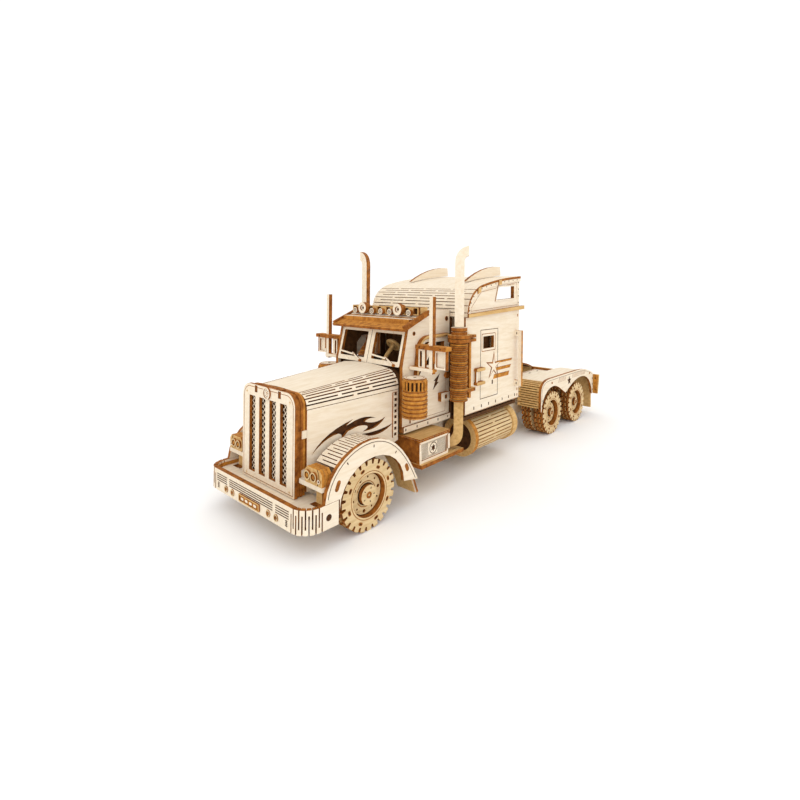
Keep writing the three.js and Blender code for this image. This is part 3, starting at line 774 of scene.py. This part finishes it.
def wheel_face(wood, x, face, window, disc, bolts):
    """Rim disc with bolt holes, a raised boss and engraving, sunk below the tyre's outer face."""
    def ring(radius, count, first=0.0):
        turns = [math.radians(first + 360 * i / count) for i in range(count)]
        return [(x + radius * math.cos(t), HUB_HIGH + radius * math.sin(t), math.degrees(t)) for t in turns]

    sheet, _ = wood.on(along())
    hub = (x, HUB_HIGH)
    rim = face - 2.4
    holes = [circle(u, v, 0.85 if i % 3 == 0 else 0.5, 10)
             for i, (u, v, _) in enumerate(ring(disc - 1.5, bolts, 62))]
    sheet([circle(*hub, disc, 36), *holes], rim - 1.2, rim, WARM)
    floor = EDGE if window - disc < 1 else BURN_AND_SHADE
    sheet([circle(*hub, window + 0.1, 36)], rim - 2.6, rim - 2.0, floor, floor)
    sheet(washer(*hub, window + 0.2, window - 0.15, 36, 36), rim - 2.0, face - 0.1, EDGE)
    boss = disc - 4.6
    for start, end, steps in ((20, 200, 20), (225, 330, 14)):
        wood.marks([arc_band(*hub, boss + 1.2, 0.34, start, end, steps)], along(rim), kind=EDGE)
    sheet([circle(*hub, boss + 0.5, 28)], rim, rim + 0.4, BURN_AND_SHADE, BURN_AND_SHADE)
    sheet([circle(*hub, boss, 28)], rim, rim + 2.1, WARM)
    sheet(washer(*hub, 1.5, 0.6, 18, 12), rim + 2.1, rim + 2.3, EDGE)
    wood.marks([oval(u, v, 0.9, 0.4, turn) for u, v, turn in ring(boss * 0.7, 5, 40)], along(rim + 2.1))
    wood.marks([arc_band(*hub, window + 0.9, 0.3, 0, 360, 36)], along(face), 0, 0.05, EDGE)
    lugs = ring(12.4, 8, 25)
    wood.marks([oval(u, v, 2.5, 1.5, turn + 90) for u, v, turn in lugs], along(face), 0, 0.06, EDGE)
    wood.marks([oval(u, v, 1.5, 0.7, turn + 90) for u, v, turn in lugs], along(face), 0.06, 0.04)


WHEEL_SETS = (("front", 10, 9.8, 9.1), ("middle", 8, 9.7, 7.4), ("rear", 8, 9.7, 7.4))


def wheels():
    for place, bolts, window, disc in WHEEL_SETS:
        x = centre(f"{place}_axle").x - FRONT_AXLE
        for side, word in SIDES:
            node = f"{place}_wheel_{word}"
            low, high = span(f"{place}_wheel_left")
            wood = Wood(f"{place}_tyre_{word}", side)
            tyre(wood, x, max(low.y, high.y - (10 if place == "front" else 7.5)), high.y, window)
            if place != "front":
                tyre(wood, x, low.y, low.y + 7, 6)
                wood.ply([circle(x, HUB_HIGH, 9, 24)], along(), low.y + 6.5, high.y - 6.5, TAN)
            wheel_face(wood, x, high.y, window, disc, bolts)
            wood.ply([circle(x, HUB_HIGH, window, 30)], along(), low.y + 1.2, low.y + 2.6, TAN)
            wood.done(node, body=f"{place}_axle_set", slot="tyre_ply")


wheels()


# ---- cab ----
def windshield(wood, low, high):
    lean = math.radians(13.9)

    def place(u, v, w):
        c, s = math.cos(lean), math.sin(lean)
        return -34 - v * s + w * c, u, 68 + v * c + w * s

    sheet, mark = wood.on(place)
    outer = rounded(-high.y, -0.1, high.y, 19.6, 0.8)
    panes = [rounded(a, 2.5, b, 17.5, 0.7) for a, b in ((2.9, high.y - 1.6), (1.6 - high.y, -2.9))]
    sheet([outer, *panes], -1.9, 0)
    mark([line(0, 0.2, 0, 19.2, 0.3)], 0, 0.04)
    for u in (-22.5, 4.2):
        sheet([line(u, 4.7, u + 11, 3.5, 0.9)], 0.5, 1.2)
        sheet([line(u + 9.8, 4.4, u + 17.2, 0.5, 0.8)], 0.1, 0.7)
        sheet([circle(u + 17.2, 0.5, 0.8, 12)], 0, 1.0, EDGE)


def visor(wood, low, high):
    """Sloping board with a level strip on its front part and a batten along each end."""
    slope = math.radians(22)

    def place(u, v, w):
        c, s = math.cos(slope), math.sin(slope)
        return -33.7 - u * c + w * s, v, low.z + u * s + w * c

    sheet, mark = wood.on(place)
    sheet([rect(0, -high.y, 21.5, high.y)], 0, 1.5, GOLD)
    sheet([rect(14, -high.y + 1.6, 21.3, high.y - 1.6)], 1.4, 1.6, FACE, FACE)
    for y in (-high.y, high.y - 1.5):
        sheet([rect(0.6, y, 21.2, y + 1.5)], 1.5, 2.7, EDGE)
    strip = [(-46, 92.6), (-39.5, 90), (-39.5, 93.1), (-46, 93.1)]
    wood.ply([strip], along(), -27, 27, EDGE, GOLD)
    wood.ply([rect(-46, -27, -39.6, 27)], level(), 93.05, 93.2, FACE, FACE)
    mark([rect(u, -high.y + 1.8, u + 0.3, high.y - 1.8) for u in (1.6, 3.2)], 1.5, 0.05, EDGE)


def lamp_bar(wood, low, high):
    """Horns and lamps on a pierced bar whose end cheeks run back over the visor."""
    bar, half, base = across(low.x + 6.1), high.y, 95.0
    sheet, mark = wood.on(bar)
    holes = [rounded(y - 1.5, base + 0.6, y + 1.5, 98.9, 0.4)
             for y in (-18.2, -10.9, -3.7, 3.7, 10.9, 18.2, 24.9, -24.9)]
    sheet([rect(-half, base, half, 99.4), *holes], 0, 1.5, TAN)
    sheet([rect(-half + 0.4, base + 0.3, half - 0.4, 99.1)], -0.6, -0.1, BURN_AND_SHADE, BURN_AND_SHADE)
    cheek = [(low.x + 6.6, base), (low.x + 1.6, 97.3), (low.x, 97.3), (low.x, 99.4), (low.x + 6.6, 99.4)]
    for y in (half - 1.6, -half):
        wood.ply([cheek], along(), y, y + 1.6, TAN)
    for y in (-14.5, 14.5):
        wood.drum(y, 98, bar, [(2.7, 0.5, 2.4, TAN), (3.3, 2.4, 4.1)])
        sheet(washer(y, 98, 3.3, 1.7, 30, 20), 4.1, 5.3)
        sheet(washer(y, 98, 1.65, 0.75, 20, 14), 4.1, 4.5)
        mark([circle(y, 98, 0.75, 12)], 4.1, 0.1)
    for y in (-22, -7.3, 0, 7.3, 22):
        wood.drum(y, 96.4, bar, [(1.3, 0.5, 2.0, TAN), (1.7, 2.0, 4.2)], 18)
        sheet(washer(y, 96.4, 1.15, 0.85, 16, 16), 4.19, 4.28, BURN_AND_SHADE, BURN_AND_SHADE)
        mark([circle(y, 96.4, 0.4, 8)], 4.2)


def cab_side(wood, low, high):
    """Everything laid on the cab's flat side: door, window frame, sill strip and fittings."""
    sheet, mark = wood.on(along(high.y))
    door = ([(-40.2, 37.6), (-70.9, 37.6), (-70.9, 82.6), (-54, 83.2)]
            + arc(-52.5, 76.2, 7.2, 95, 170, 6) + [(-46.4, 62), (-40.2, 60.5)])
    hole = [(-50.2, 67.2), (-68.6, 67.2), (-68.6, 79.6), (-54.6, 79.6), (-50.2, 75.6)]
    sheet([door, hole], 0, 0.9)
    # painted shade: a near-black sheet just inside the cab side, open at the window, for the unlit cab
    # inside
    painted_shade_lining = [(-36.4, 36.5), (-74, 36.5), (-74, 95), (-57, 95), (-40, 87.6), (-36.6, 69)]
    pane = [(-48.8, 66.8), (-69.2, 66.8), (-69.2, 80.2), (-52.9, 80.2), (-48.8, 76.1)]
    sheet([painted_shade_lining, pane], -2.25, -2.05, PAINTED_SHADE, PAINTED_SHADE)
    curve = Curve([(-43.0, 62.2), (-44.2, 72)] + arc(-53.2, 74.8, 9.0, 12, 88, 9) + [(-71, 84.2)])
    for near, far, wide in ((0, 1.5, 2.0), (1.5, 2.6, 1.2)):
        sheet([curve.band(0, wide)], near, far, TAN)
    sheet([rect(-60.2, 67, -58.6, 80)], -1.5, 1.5)
    bolt = [(-64.6, 61.2), (-62.2, 56.6), (-63.6, 56.4), (-58.6, 52.6), (-60.6, 57.4), (-59.2, 57.6)]
    mark([bolt], 0.9)
    for box in (rect(-69.9, 38.6, -69.7, 66), rect(-69.7, 38.6, -41.5, 38.8), rect(-69.7, 65.2, -49, 65.4)):
        mark([box], 0.9, 0.05, EDGE)
    sheet([rect(-70.8, 45.4, -63.2, 50.2), rect(-68.4, 46.6, -66.4, 49)], 0.9, 3.4)
    sheet([circle(-70.4, 59.6, 1.9, 20)], 0.9, 2.4, EDGE)
    sheet([rect(-74.4, 33.5, -34.5, 36.6)], 0, 1.2)
    mark([oval(x, 35.1, 1.5, 0.7, 90) for x in range(-72, -35, 9)], 1.2)
    mark([circle(-43.1, 85.4, 1.2, 16), circle(-71.6, 92.4, 1.5, 16)], kind=EDGE)
    mark([circle(-43.1, 85.4, 0.8, 12), circle(-71.6, 92.4, 1.1, 12)], 0.08)
    mark([circle(x, 83.2, 0.5, 8) for x in (-62, -68)], 0.9)


once("windshield", windshield, "windshield_frame")
once("visor_slats", visor, "sun_visor", slot="stacked_edges")
once("lamp_row", lamp_bar, "roof_lamp_bar", slot="tan_ply")
both("cab_door", cab_side, "cab_side", swap=False)


# ---- fittings along the sides ----
def air_cleaner(wood, low, high):
    """Drum of stacked rings: a pale lid, a row of posts round a dark core, wavy rings below."""
    x, y, radius = (low.x + high.x) / 2, (low.y + high.y) / 2, (high.x - low.x) / 2
    top, base = high.z, low.z
    layers = [(radius - 1.3, top - 0.6, top), (radius - 0.8, top - 1.7, top - 0.6, TAN, GOLD),
              (radius - 1.9, top - 6.2, top - 1.7, BURN_AND_SHADE, BURN_AND_SHADE)]
    z, i = top - 6.2, 0
    while z > base + 0.3:
        step, swell = (1.15, 0.3) if i % 2 else (0.95, 0.75)
        step = min(step, z - base)
        layers.append((radius - swell, z - step, z, TAN, EDGE if i % 2 == 0 else GOLD))
        z -= step
        i += 1
    wood.drum(x, y, level(), layers, 32)
    for k in range(18):
        turn = 2 * math.pi * k / 18
        u, v = x + (radius - 0.85) * math.cos(turn), y + (radius - 0.85) * math.sin(turn)
        wood.ply([circle(u, v, 0.55, 8)], level(), top - 6.3, top - 1.6, TAN, GOLD)
    wood.marks([circle(x, y, 0.8, 12)], level(), top, 0.06)
    wood.ply(washer(x, y, radius - 2.2, radius - 2.45, 28, 28), level(top), -0.02, 0.05, EDGE)


STACK_AT = (-68.6, 39.1)
LEFT_TURN, RIGHT_TURN = math.radians(126), math.radians(-97)
PIPE_HALF = 2.65


def turned(turn, side=1):
    """Upright sheet through the muffler's centre line, turned about it; u runs outward."""
    x, y = STACK_AT
    return lambda u, v, w: (x + u * math.cos(turn) - w * math.sin(turn),
                            side * y + u * math.sin(turn) + w * math.cos(turn), v)


def muffler(wood, low, high):
    x, y = STACK_AT
    base, top = 46.7, high.z - 3.2
    layers, z, i = [], base, 0
    while z < top - 6.4:
        layers.append(((5.15, 4.7, 5.0, 4.8, 5.1)[i % 5], z, z + 0.85, TAN, GOLD if i % 4 == 1 else EDGE))
        layers.append((4.25, z + 0.85, z + 1.25, EDGE, BURN_AND_SHADE))
        z += 1.25
        i += 1
    layers += [(4.9, z, top - 5.2, EDGE), (6.4, top - 5.0, top - 3.2, TAN),
               (5.4, top - 3.2, top - 2.8, EDGE, BURN_AND_SHADE), (6.4, top - 2.8, top - 1.0, TAN),
               (4.6, top - 1.0, top + 0.9), (3.9, top + 0.9, top + 1.3, EDGE, BURN_AND_SHADE),
               (4.6, top + 1.3, high.z)]
    wood.drum(x, y, level(), layers)
    for z0 in (top - 4.95, top - 2.75):
        wood.ply([rounded(x - 10.4, y + 0.2, x, y + 5.2, 1.2)], level(), z0, z0 + 1.65, TAN)
    wood.ply([rounded(x - 10.4, y + 0.2, x - 2, y + 4.8, 1.0)], level(), 51.4, 53.2, TAN)
    wood.ply([rect(x - 7.2, 47.5, x - 5.4, top - 5)], along(), y + 0.6, y + 3.4, GOLD)
    half = PIPE_HALF
    pipe = ([(half, base + 0.5), (-half, base + 0.5), (-half, 30)]
            + bezier((-half, 30), (-half - 0.3, 27), (-half - 2, 25.6), (-half - 4.5, 25.2), 6)[1:]
            + bezier((-half - 4.5, low.z), (0, low.z + 0.3), (half, 23.5), (half, 30), 8))
    # painted shade: the down pipe below the muffler takes the darker tan for the shade it stands in
    for near, far in ((-1.5, 0), (0.04, 1.5)):
        wood.ply([pipe], turned(LEFT_TURN), near, far, TAN)


def stack(place):
    """Two-layer pipe with a swept tip, standing in the place given."""
    def build(wood, low, high):
        half, top = PIPE_HALF, high.z
        shape = ([(-half, 88.3), (half, 88.3), (half, top - 9)]
                 + bezier((half, top - 9), (half + 0.2, top - 7), (half + 1, top - 6),
                          (half + 2.4, top - 5.8), 6)[1:]
                 + bezier((half + 2.4, top), (0.5, top - 1), (-half, top - 4), (-half, top - 10), 8))
        for near in (-1.5, 0.03):
            wood.ply([shape], place, near, near + 1.47)
    return build


def fuel_tank(wood, low, high):
    """Slatted skin round a dark core, with a thick layered ring at each end."""
    y, z, radius = (low.y + high.y) / 2, (low.z + high.z) / 2, (high.z - low.z) / 2
    wood.drum(y, z, lengthwise, [(radius - 2.2, low.x + 1, high.x - 1.5, BURN_AND_SHADE, EDGE)], 36)
    for near, far, inner in ((1.5, 0, 3.6), (3.1, 1.6, 4.3)):
        wood.ply(washer(y, z, radius, radius - inner, 40, 32), lengthwise,
                   high.x - near, high.x - far, TAN, GOLD)
    wood.ply([star(y, z, radius - 3.4, radius - 5.6, 90, 12), circle(y, z, radius - 7.4, 24)], lengthwise,
               high.x - 2.9, high.x - 2.2, EDGE, BURN_AND_SHADE)
    for x0, x1 in ((low.x, low.x + 2.5), (low.x + 2.6, low.x + 5.2)):
        wood.ply([circle(y, z, radius, 40)], lengthwise, x0, x1, TAN, TAN)
    count, skin = 30, radius - 1.1
    path = [(y + skin * math.cos(t), z + skin * math.sin(t)) for t in
            (2 * math.pi * i / (3 * count) for i in range(3 * count + 1))]
    pitch = Curve(path).length / count
    start, end = low.x + 5.3, high.x - 3.2
    middle = (start + end) / 2
    slits = []
    for i in range(count):
        s = (i + 0.5) * pitch
        if i % 2:
            dashes = [(start + 1.6, end - 1.6)]
        else:
            dashes = [(start - 1, middle - 1.2), (middle + 1.2, end + 1)]
        slits += [(s - 0.3, s + 0.3, a, b) for a, b in dashes]
    wood.bent(path, lambda a, b, t: (t, a, b), 0.9, start, end, slits, WARM, GOLD)


def battery_box(wood, low, high):
    wood.ply([rect(-59.5, 19.2, -36, 30.3)], along(), 20, 37.6, TAN)
    panel, window = rect(-59.7, 19.2, -35.8, 30.6), rounded(-58.4, 20.6, -37.1, 29.4, 0.6)
    wood.ply([panel, window], along(), 37.6, 38.8)
    wood.ply([rect(-58.6, 20.4, -36.9, 29.6)], along(), 37.6, 38.1)
    _, mark = wood.on(along(38.1))
    hatch = []
    for i in range(23):
        x = -58 + i * 0.92
        if abs(x + 47.6) > 3.6:
            hatch.append(line(x, 21.0, x + 0.5, 29.0, 0.32))
        else:
            hatch += [line(x, 21.0, x + 0.1, 21.8, 0.32), line(x + 0.4, 28.2, x + 0.5, 29, 0.32)]
    mark(hatch, 0, 0.06)
    mark([arc_band(-47.6, 25, 2.9, 0.4, 0, 360, 24), star(-47.6, 25, 2.1, 1.0, 90, 6)], 0, 0.07)
    lid = [rect(-60.5, low.y, high.x, high.y - 1.2)]
    wood.ply(lid, level(), 30.6, 31.5)
    wood.ply(lid, level(), 31.6, high.z, TAN)
    wood.ply([rect(low.x, 24, high.x, high.y)], level(), low.z, low.z + 2, TAN)
    wood.marks([rect(x, high.y - 3.2, x + 3.5, high.y - 2.8) for x in (-69, -61, -53, -45)],
               level(low.z + 2))
    for x in (-36.4, -60.2):
        wood.ply([rect(x, 22, x + 1.5, 30)], along(), 39.0, 39.5)


def mirror(wood, low, high):
    """Pole with a cross bar, a framed glass outside it and a slotted plate inside it."""
    sheet, _ = wood.on(across())
    sheet([rect(41.3, low.z + 0.2, 43.5, high.z)], -42.1, -39.5)
    sheet([rounded(32.6, 78.2, high.y, 80.4, 0.4)], -43.4, -38.4, EDGE, GOLD)
    sheet([rounded(low.y, 66.6, 44, 68.4, 0.4)], -42.6, -39.2, FACE, GOLD)
    sash = [rect(44.6, 68.6, high.y - 0.5, 78.1), rounded(45.6, 69.6, high.y - 1.9, 77.2, 0.5)]
    sheet(sash, -41.6, -40.1)
    sheet([rect(45.4, 69.4, high.y - 1.7, 77.4)], -41.4, -41.0)
    sheet([rect(high.y - 1.2, 68.7, high.y - 0.5, 78.1)], -40.15, -39.95, EDGE)
    sheet([rect(43.6, 71.4, 44.9, 78.1)], -40.1, -39.6, EDGE)
    sheet([rect(33.6, 68, 38, 78.1), oval(35.2, 73, 8.4, 1.5, 90)], -41.6, -40.1)
    sheet([rect(34.2, 68.7, 36.2, 77.4)], -41.5, -41.1, BURN_AND_SHADE, BURN_AND_SHADE)
    wood.marks([circle(y, 79.3, 0.5, 10) for y in (35.5, 49.5)], across(-38.4))


both("filter_drum", air_cleaner, "air_cleaner", slot="tan_ply")
both("silencer", muffler, "muffler", slot="stacked_edges")
for turn, (side, word) in zip((LEFT_TURN, RIGHT_TURN), SIDES):
    once(f"stack_pipe_{word}", stack(turned(turn, side)), f"exhaust_stack_{word}")
both("tank", fuel_tank, "fuel_tank")
both("side_box", battery_box, "battery_box")
both("mirror_arm", mirror, "mirror")


# ---- sleeper ----
def roof_curve(steps=9):
    return (bezier((-75.1, 93.5), (-75.1, 104), (-81, 109.6), (-90, 112.3), steps)
            + bezier((-90, 112.3), (-105, 116), (-120, 117.6), (-137, 118.8), steps)[1:])


def fairing(wood, low, high):
    slits = []
    for i in range(9):
        s = 2.2 + 2.1 * i
        if i % 2:
            breaks = ((-33.5, -12.5), (-10.5, 10.5), (12.5, 33.5))
        else:
            breaks = ((-40, -23), (-21, -1), (1, 21), (23, 40))
        slits += [(s, s + 0.5, a, b) for a, b in breaks]
    wood.bent(roof_curve(), along_width, 1.5, low.y, high.y, slits)


def along_width(x, z, y):
    return x, y, z


def sleeper_side(wood, low, high):
    y = high.y
    sheet, mark = wood.on(along(y))
    door = [rect(-110.2, 43.2, -90.4, 85.2), rect(-109.85, 43.55, -90.75, 84.85)]
    sheet(door, -0.02, 0.08, BURN_AND_SHADE, BURN_AND_SHADE)
    # painted shade: a near-black sheet set back behind the sleeper window, for the unlit sleeper inside
    wood.ply([rect(-108.6, 70.6, -90.6, 84)], along(), y - 5.4, y - 5, PAINTED_SHADE, PAINTED_SHADE)
    sash = [rounded(-107.2, 71.8, -91.8, 82.7, 0.5), rounded(-106.8, 72.2, -92.2, 82.3, 0.4)]
    sheet(sash, -0.02, 0.06, EDGE)
    mark([star(-105.4, 61.8, 9.2, 3.0, 92)], 0, 0.07, EDGE)
    mark([star(-105.6, 61.6, 7.0, 2.0, 92)], 0.07, 0.05, FACE)
    stripes = ((64.3, -109.0, -128.2, 1.3), (60.3, -107.6, -126.6, 1.9), (56.2, -106.0, -124.6, 2.6))
    for z, x0, x1, thick in stripes:
        mark([[(x0, z), (x1, z), (x1 + 1.2, z - thick), (x0 + 1.2, z - thick)]], 0, 0.08, GOLD)
        mark([line(x0, z, x1, z, 0.3)], 0.08, 0.03, EDGE)
    mark([rect(-104.6, 50.6, -103.4, 53.2)])
    mark([oval(x, low.z + 2.6, 1.9, 0.8, 90) for x in range(-132, -76, 8)])
    mark([rect(low.x + 0.4, low.z + 0.1, high.x - 0.4, low.z + 0.35)], 0, 0.05, EDGE)
    rail = [(-75.5, 93.2), (-75.5, 95.2), (-138.4, 98.8), (-141, 98.9), (-141, 96.5), (-138.4, 96.4)]
    sheet([rail], 0.05, 1.8, TAN)
    rim = Curve(roof_curve())
    sheet([rim.band(0.9, 3.4)], 0, 0.8)
    mark([circle(*rim.at(s, 2.2), 0.42, 8) for s in (4 + 5.4 * i for i in range(13))], 0.8)
    for s in (21, 45):
        (x0, z0), (x1, z1) = rim.at(s, 0.4), rim.at(s + 3.4, 0.4)
        sheet([[(x0, z0), (x1, z1), (x1, z1 - 3.2), (x0, z0 - 3.2)]], 0.8, 1.5, TAN)
    panel = [(-134.4, 99.6), (-80.2, 96.8), (-80.2, 98.6), (-90.5, 108.0), (-133.2, 114.4)]
    for a, b in zip(panel, panel[1:] + panel[:1]):
        mark([line(*a, *b, 0.22)], 0, 0.05, EDGE)
    vent = [(-130, 103.2), (-106, 102.2), (-109.4, 111.9), (-130, 112.9)]
    hole = [(-129, 104), (-107, 103), (-110, 111), (-129, 112)]
    sheet([vent, hole], 0, 0.5)
    mark([circle(low.x + 1.4, z, 0.45, 8) for z in (101, 105.5, 110, 114.5)])
    mark([oval(low.x + 2.0, z, 1.9, 0.9, 90) for z in (92.4, 42.6, 38.8)], 0.05, kind=EDGE)
    grip = [(y, 45.5), (y + 5.2, 45.5), (y + 5.2, 82.5), (y, 82.5), (y, 78.8), (y + 2.9, 78.8),
            (y + 2.9, 49.2), (y, 49.2)]
    wood.ply([grip], across(), -133.2, -131.2, FACE, GOLD)
    wood.marks([oval(y + 1.6, z, 1.5, 0.6, 90) for z in (47.2, 80.6)], across(-131.2))
    for z in (60.9, 52.7):
        sheet([rounded(-92.6, z, -83.6, z + 1.9, 0.8)], 0, 2.4, TAN)
    sheet([rect(-85.2, 54, -83.8, 61.2)], 0.6, 1.8)


both("sleeper_fittings", sleeper_side, "sleeper_side", swap=False)
once("roof_sheet", fairing, "roof_fairing_sheet")


# ---- rear ----
def rear_curve():
    low, high = span("rear_fender_plate_left")
    front, rear, top = high.x, low.x, high.z
    nose = bezier((front, top - 10), (front, top - 3.3), (front - 4.7, top), (front - 14, top), 8)
    tail = bezier((rear + 34, top), (rear + 22, top), (rear + 10.7, top - 2.2), (rear, top - 6.5), 6)
    return [(front, 22)] + nose + tail


def rear_skin(wood, low, high):
    """Ribbed front and bend in tan as painted shade, plain pale top, hinge slits again at the rear bend,
    and a near-black lining of painted shade inside.
    """
    curve = Curve(rear_curve())
    outer = curve.offset(1)
    front, top = outer[:8], outer[7:]
    ribs = comb(1.0, Curve(front).length - 0.8, 1.8, low.y, high.y, 0.6, 1.6)
    # painted shade: the ribbed front and bend take the darker tan for the shade they face into; the top
    # stays pale
    wood.bent(front, along(), 1.2, low.y, high.y, ribs, TAN)
    length = Curve(top).length
    wood.bent(top, along(), 1.2, low.y, high.y, comb(length - 15, length - 1.2, 1.8, low.y, high.y))
    # painted shade: a near-black lining under the fender skin, for the unlit inside of the wheel arches
    wood.bent(curve.offset(2.25), along(), 0.25, low.y + 0.2, high.y - 0.2, (), PAINTED_SHADE, PAINTED_SHADE)


def rear_marks(wood, low, high):
    _, mark = wood.on(along(high.y))
    curve = Curve(rear_curve())
    steps = [4 + i * (curve.length - 6) / 50 for i in range(51)]
    mark([curve.band(1.3, 1.52, steps)], 0, 0.06)
    mark([star(-218.6, 36.2, 3.8, 1.6)], 0, 0.08)
    hatch = [line(x, 40.8, x + 1.6, 37.4, 0.34) for x in range(-252, -198, 2) if abs(x + 219) > 5]
    mark(hatch, 0, 0.05, EDGE)
    mark([oval(x, z, 2.4, 1.5, turn) for x, z, turn in ((-187, 38.9, 20), (-262, 36.5, -40))], kind=EDGE)
    mark([oval(high.x - 1.6, z, 1.8, 0.8, 90) for z in (24, 28)])
    mark([oval(low.x + 1, z, 1.8, 0.8, 90) for z in (21, 26, 31)])


def stern(wood, low, high):
    """Engraving on the faces that look to the rear: sleeper wall, tail plate and mud flaps."""
    half, top = high.y, 98.5
    sheet, mark = wood.on(behind(low.x))
    for inset in (3.0, 4.2):
        outer, inner = (rounded(-half + gap, low.z + gap, half - gap, top - gap, corner)
                        for gap, corner in ((inset, 4), (inset + 0.3, 3.8)))
        sheet([outer, inner], -0.02, 0.06, EDGE)
    for y in (-16, 16):
        sheet([rounded(y - 10, 76, y + 10, 92, 2), rounded(y - 9.4, 76.6, y + 9.4, 91.4, 1.6)], -0.02, 0.5)
        mark([line(y - 8, z, y + 8, z, 0.5) for z in (79, 81.5, 84, 86.5, 89)])
    mark([line(-26, z, 26, z, 0.4) for z in (50, 52, 70, 72)], kind=EDGE)
    mark([star(y, 61, 5, 2.1) for y in (-18, 0, 18)])
    mark([oval(y, z, 1.9, 0.9, 90) for y in (-34.6, 34.6) for z in (48, 60, 72, 84)])
    low, high = span("tail_plate")
    sheet, mark = wood.on(behind(low.x))
    for side in (-1, 1):
        y = side * 12
        sheet(washer(y, 26, 2.6, 1.9, 24, 20), -0.02, 0.1)
        mark([circle(y, 26, 1.0, 14)])
        flap = side * 30
        mark([line(flap - 6, z, flap + 6, z, 0.4) for z in (7, 9, 11, 13, 15)])
        mark([oval(side * 42.2, z, 1.9, 0.9, 90) for z in (21, 26, 31)])
    mark([line(-7, z, 7, z, 0.4) for z in (22, 24, 26, 28)])


def tail_front(wood, low, high):
    """Brown cross plate that shows between the rear fenders, with golden ears outside them."""
    sheet, mark = wood.on(across(high.x))
    sheet([rect(-20.6, 19, 20.6, high.z - 0.3)], -0.02, 0.12, EDGE)
    for side in (1, -1):
        ear = [(side * 40.3, low.z + 13.4), (side * 43.8, low.z + 13.4), (side * 44.8, high.z - 0.3),
               (side * 40.3, high.z - 0.3)]
        sheet([ear], -0.02, 0.1, GOLD)
        mark([oval(side * 42.2, z, 1.9, 0.8, 90) for z in (21, 31)], 0.1)


def deck_marks(wood, low, high):
    """Engraved lines and slots along the deck behind the sleeper, and joint slots on the cab roof."""
    _, mark = wood.on(level(high.z))
    start, end = low.x + 1.5, span("sleeper_side_left")[0].x - 1.5
    mark([rect(start, y - 0.15, end, y + 0.15) for y in (-15.6, -14.6, 14.6, 15.6)], 0, 0.06, EDGE)
    mark([oval(x, y, 3.4, 1.3) for x in range(-262, -142, 15) for y in (-10.5, 10.5)])
    low, high = span("cab_roof")
    _, mark = wood.on(level(high.z))
    mark([rect(low.x + 1, y - 0.15, high.x - 1, y + 0.15) for y in (-22, 22)], 0, 0.06, EDGE)
    mark([oval((low.x + high.x) / 2, y, 4, 1.4) for y in (-16, 0, 16)])


both("rear_ribs", rear_skin, "rear_fender_skin")
both("rear_engraving", rear_marks, "rear_fender_plate", swap=False)
once("stern_engraving", stern, "sleeper_rear_wall", swap=False)
once("tail_front", tail_front, "tail_plate", swap=False)
once("deck_engraving", deck_marks, "frame_deck", swap=False)


# ---- floor and lights ----
def make_stage():
    mesh = bpy.data.meshes.new("floor")
    mesh.from_pydata([(-6, -6, 0), (6, -6, 0), (6, 6, 0), (-6, 6, 0)], [], [(0, 1, 2, 3)])
    floor = put("floor", mesh)
    pale = material("floor_paper", 0.9)
    pale.node_tree.nodes["Principled BSDF"].inputs["Base Color"].default_value = (0.99, 0.985, 0.975, 1)
    mesh.materials.append(pale)
    world = bpy.data.worlds.new("studio")
    world.use_nodes = True
    sky = world.node_tree.nodes["Background"]
    sky.inputs["Color"].default_value = (1, 1, 1, 1)
    sky.inputs["Strength"].default_value = 1.1
    bpy.context.scene.world = world


def area_light(name, place, target, size, power):
    data = bpy.data.lights.new(name, "AREA")
    data.size, data.energy = size, power
    lamp = put(name, data)
    lamp.location = place
    lamp.rotation_euler = (Vector(target) - Vector(place)).to_track_quat("-Z", "Y").to_euler()


make_stage()
area_light("key", (0.9, 0.35, 0.9), (0, 0, 0.05), 0.7, 1.6)
area_light("fill", (0.35, 1.0, 0.4), (0, 0, 0.06), 0.9, 1.1)
bpy.context.scene.view_settings.view_transform = "Standard"
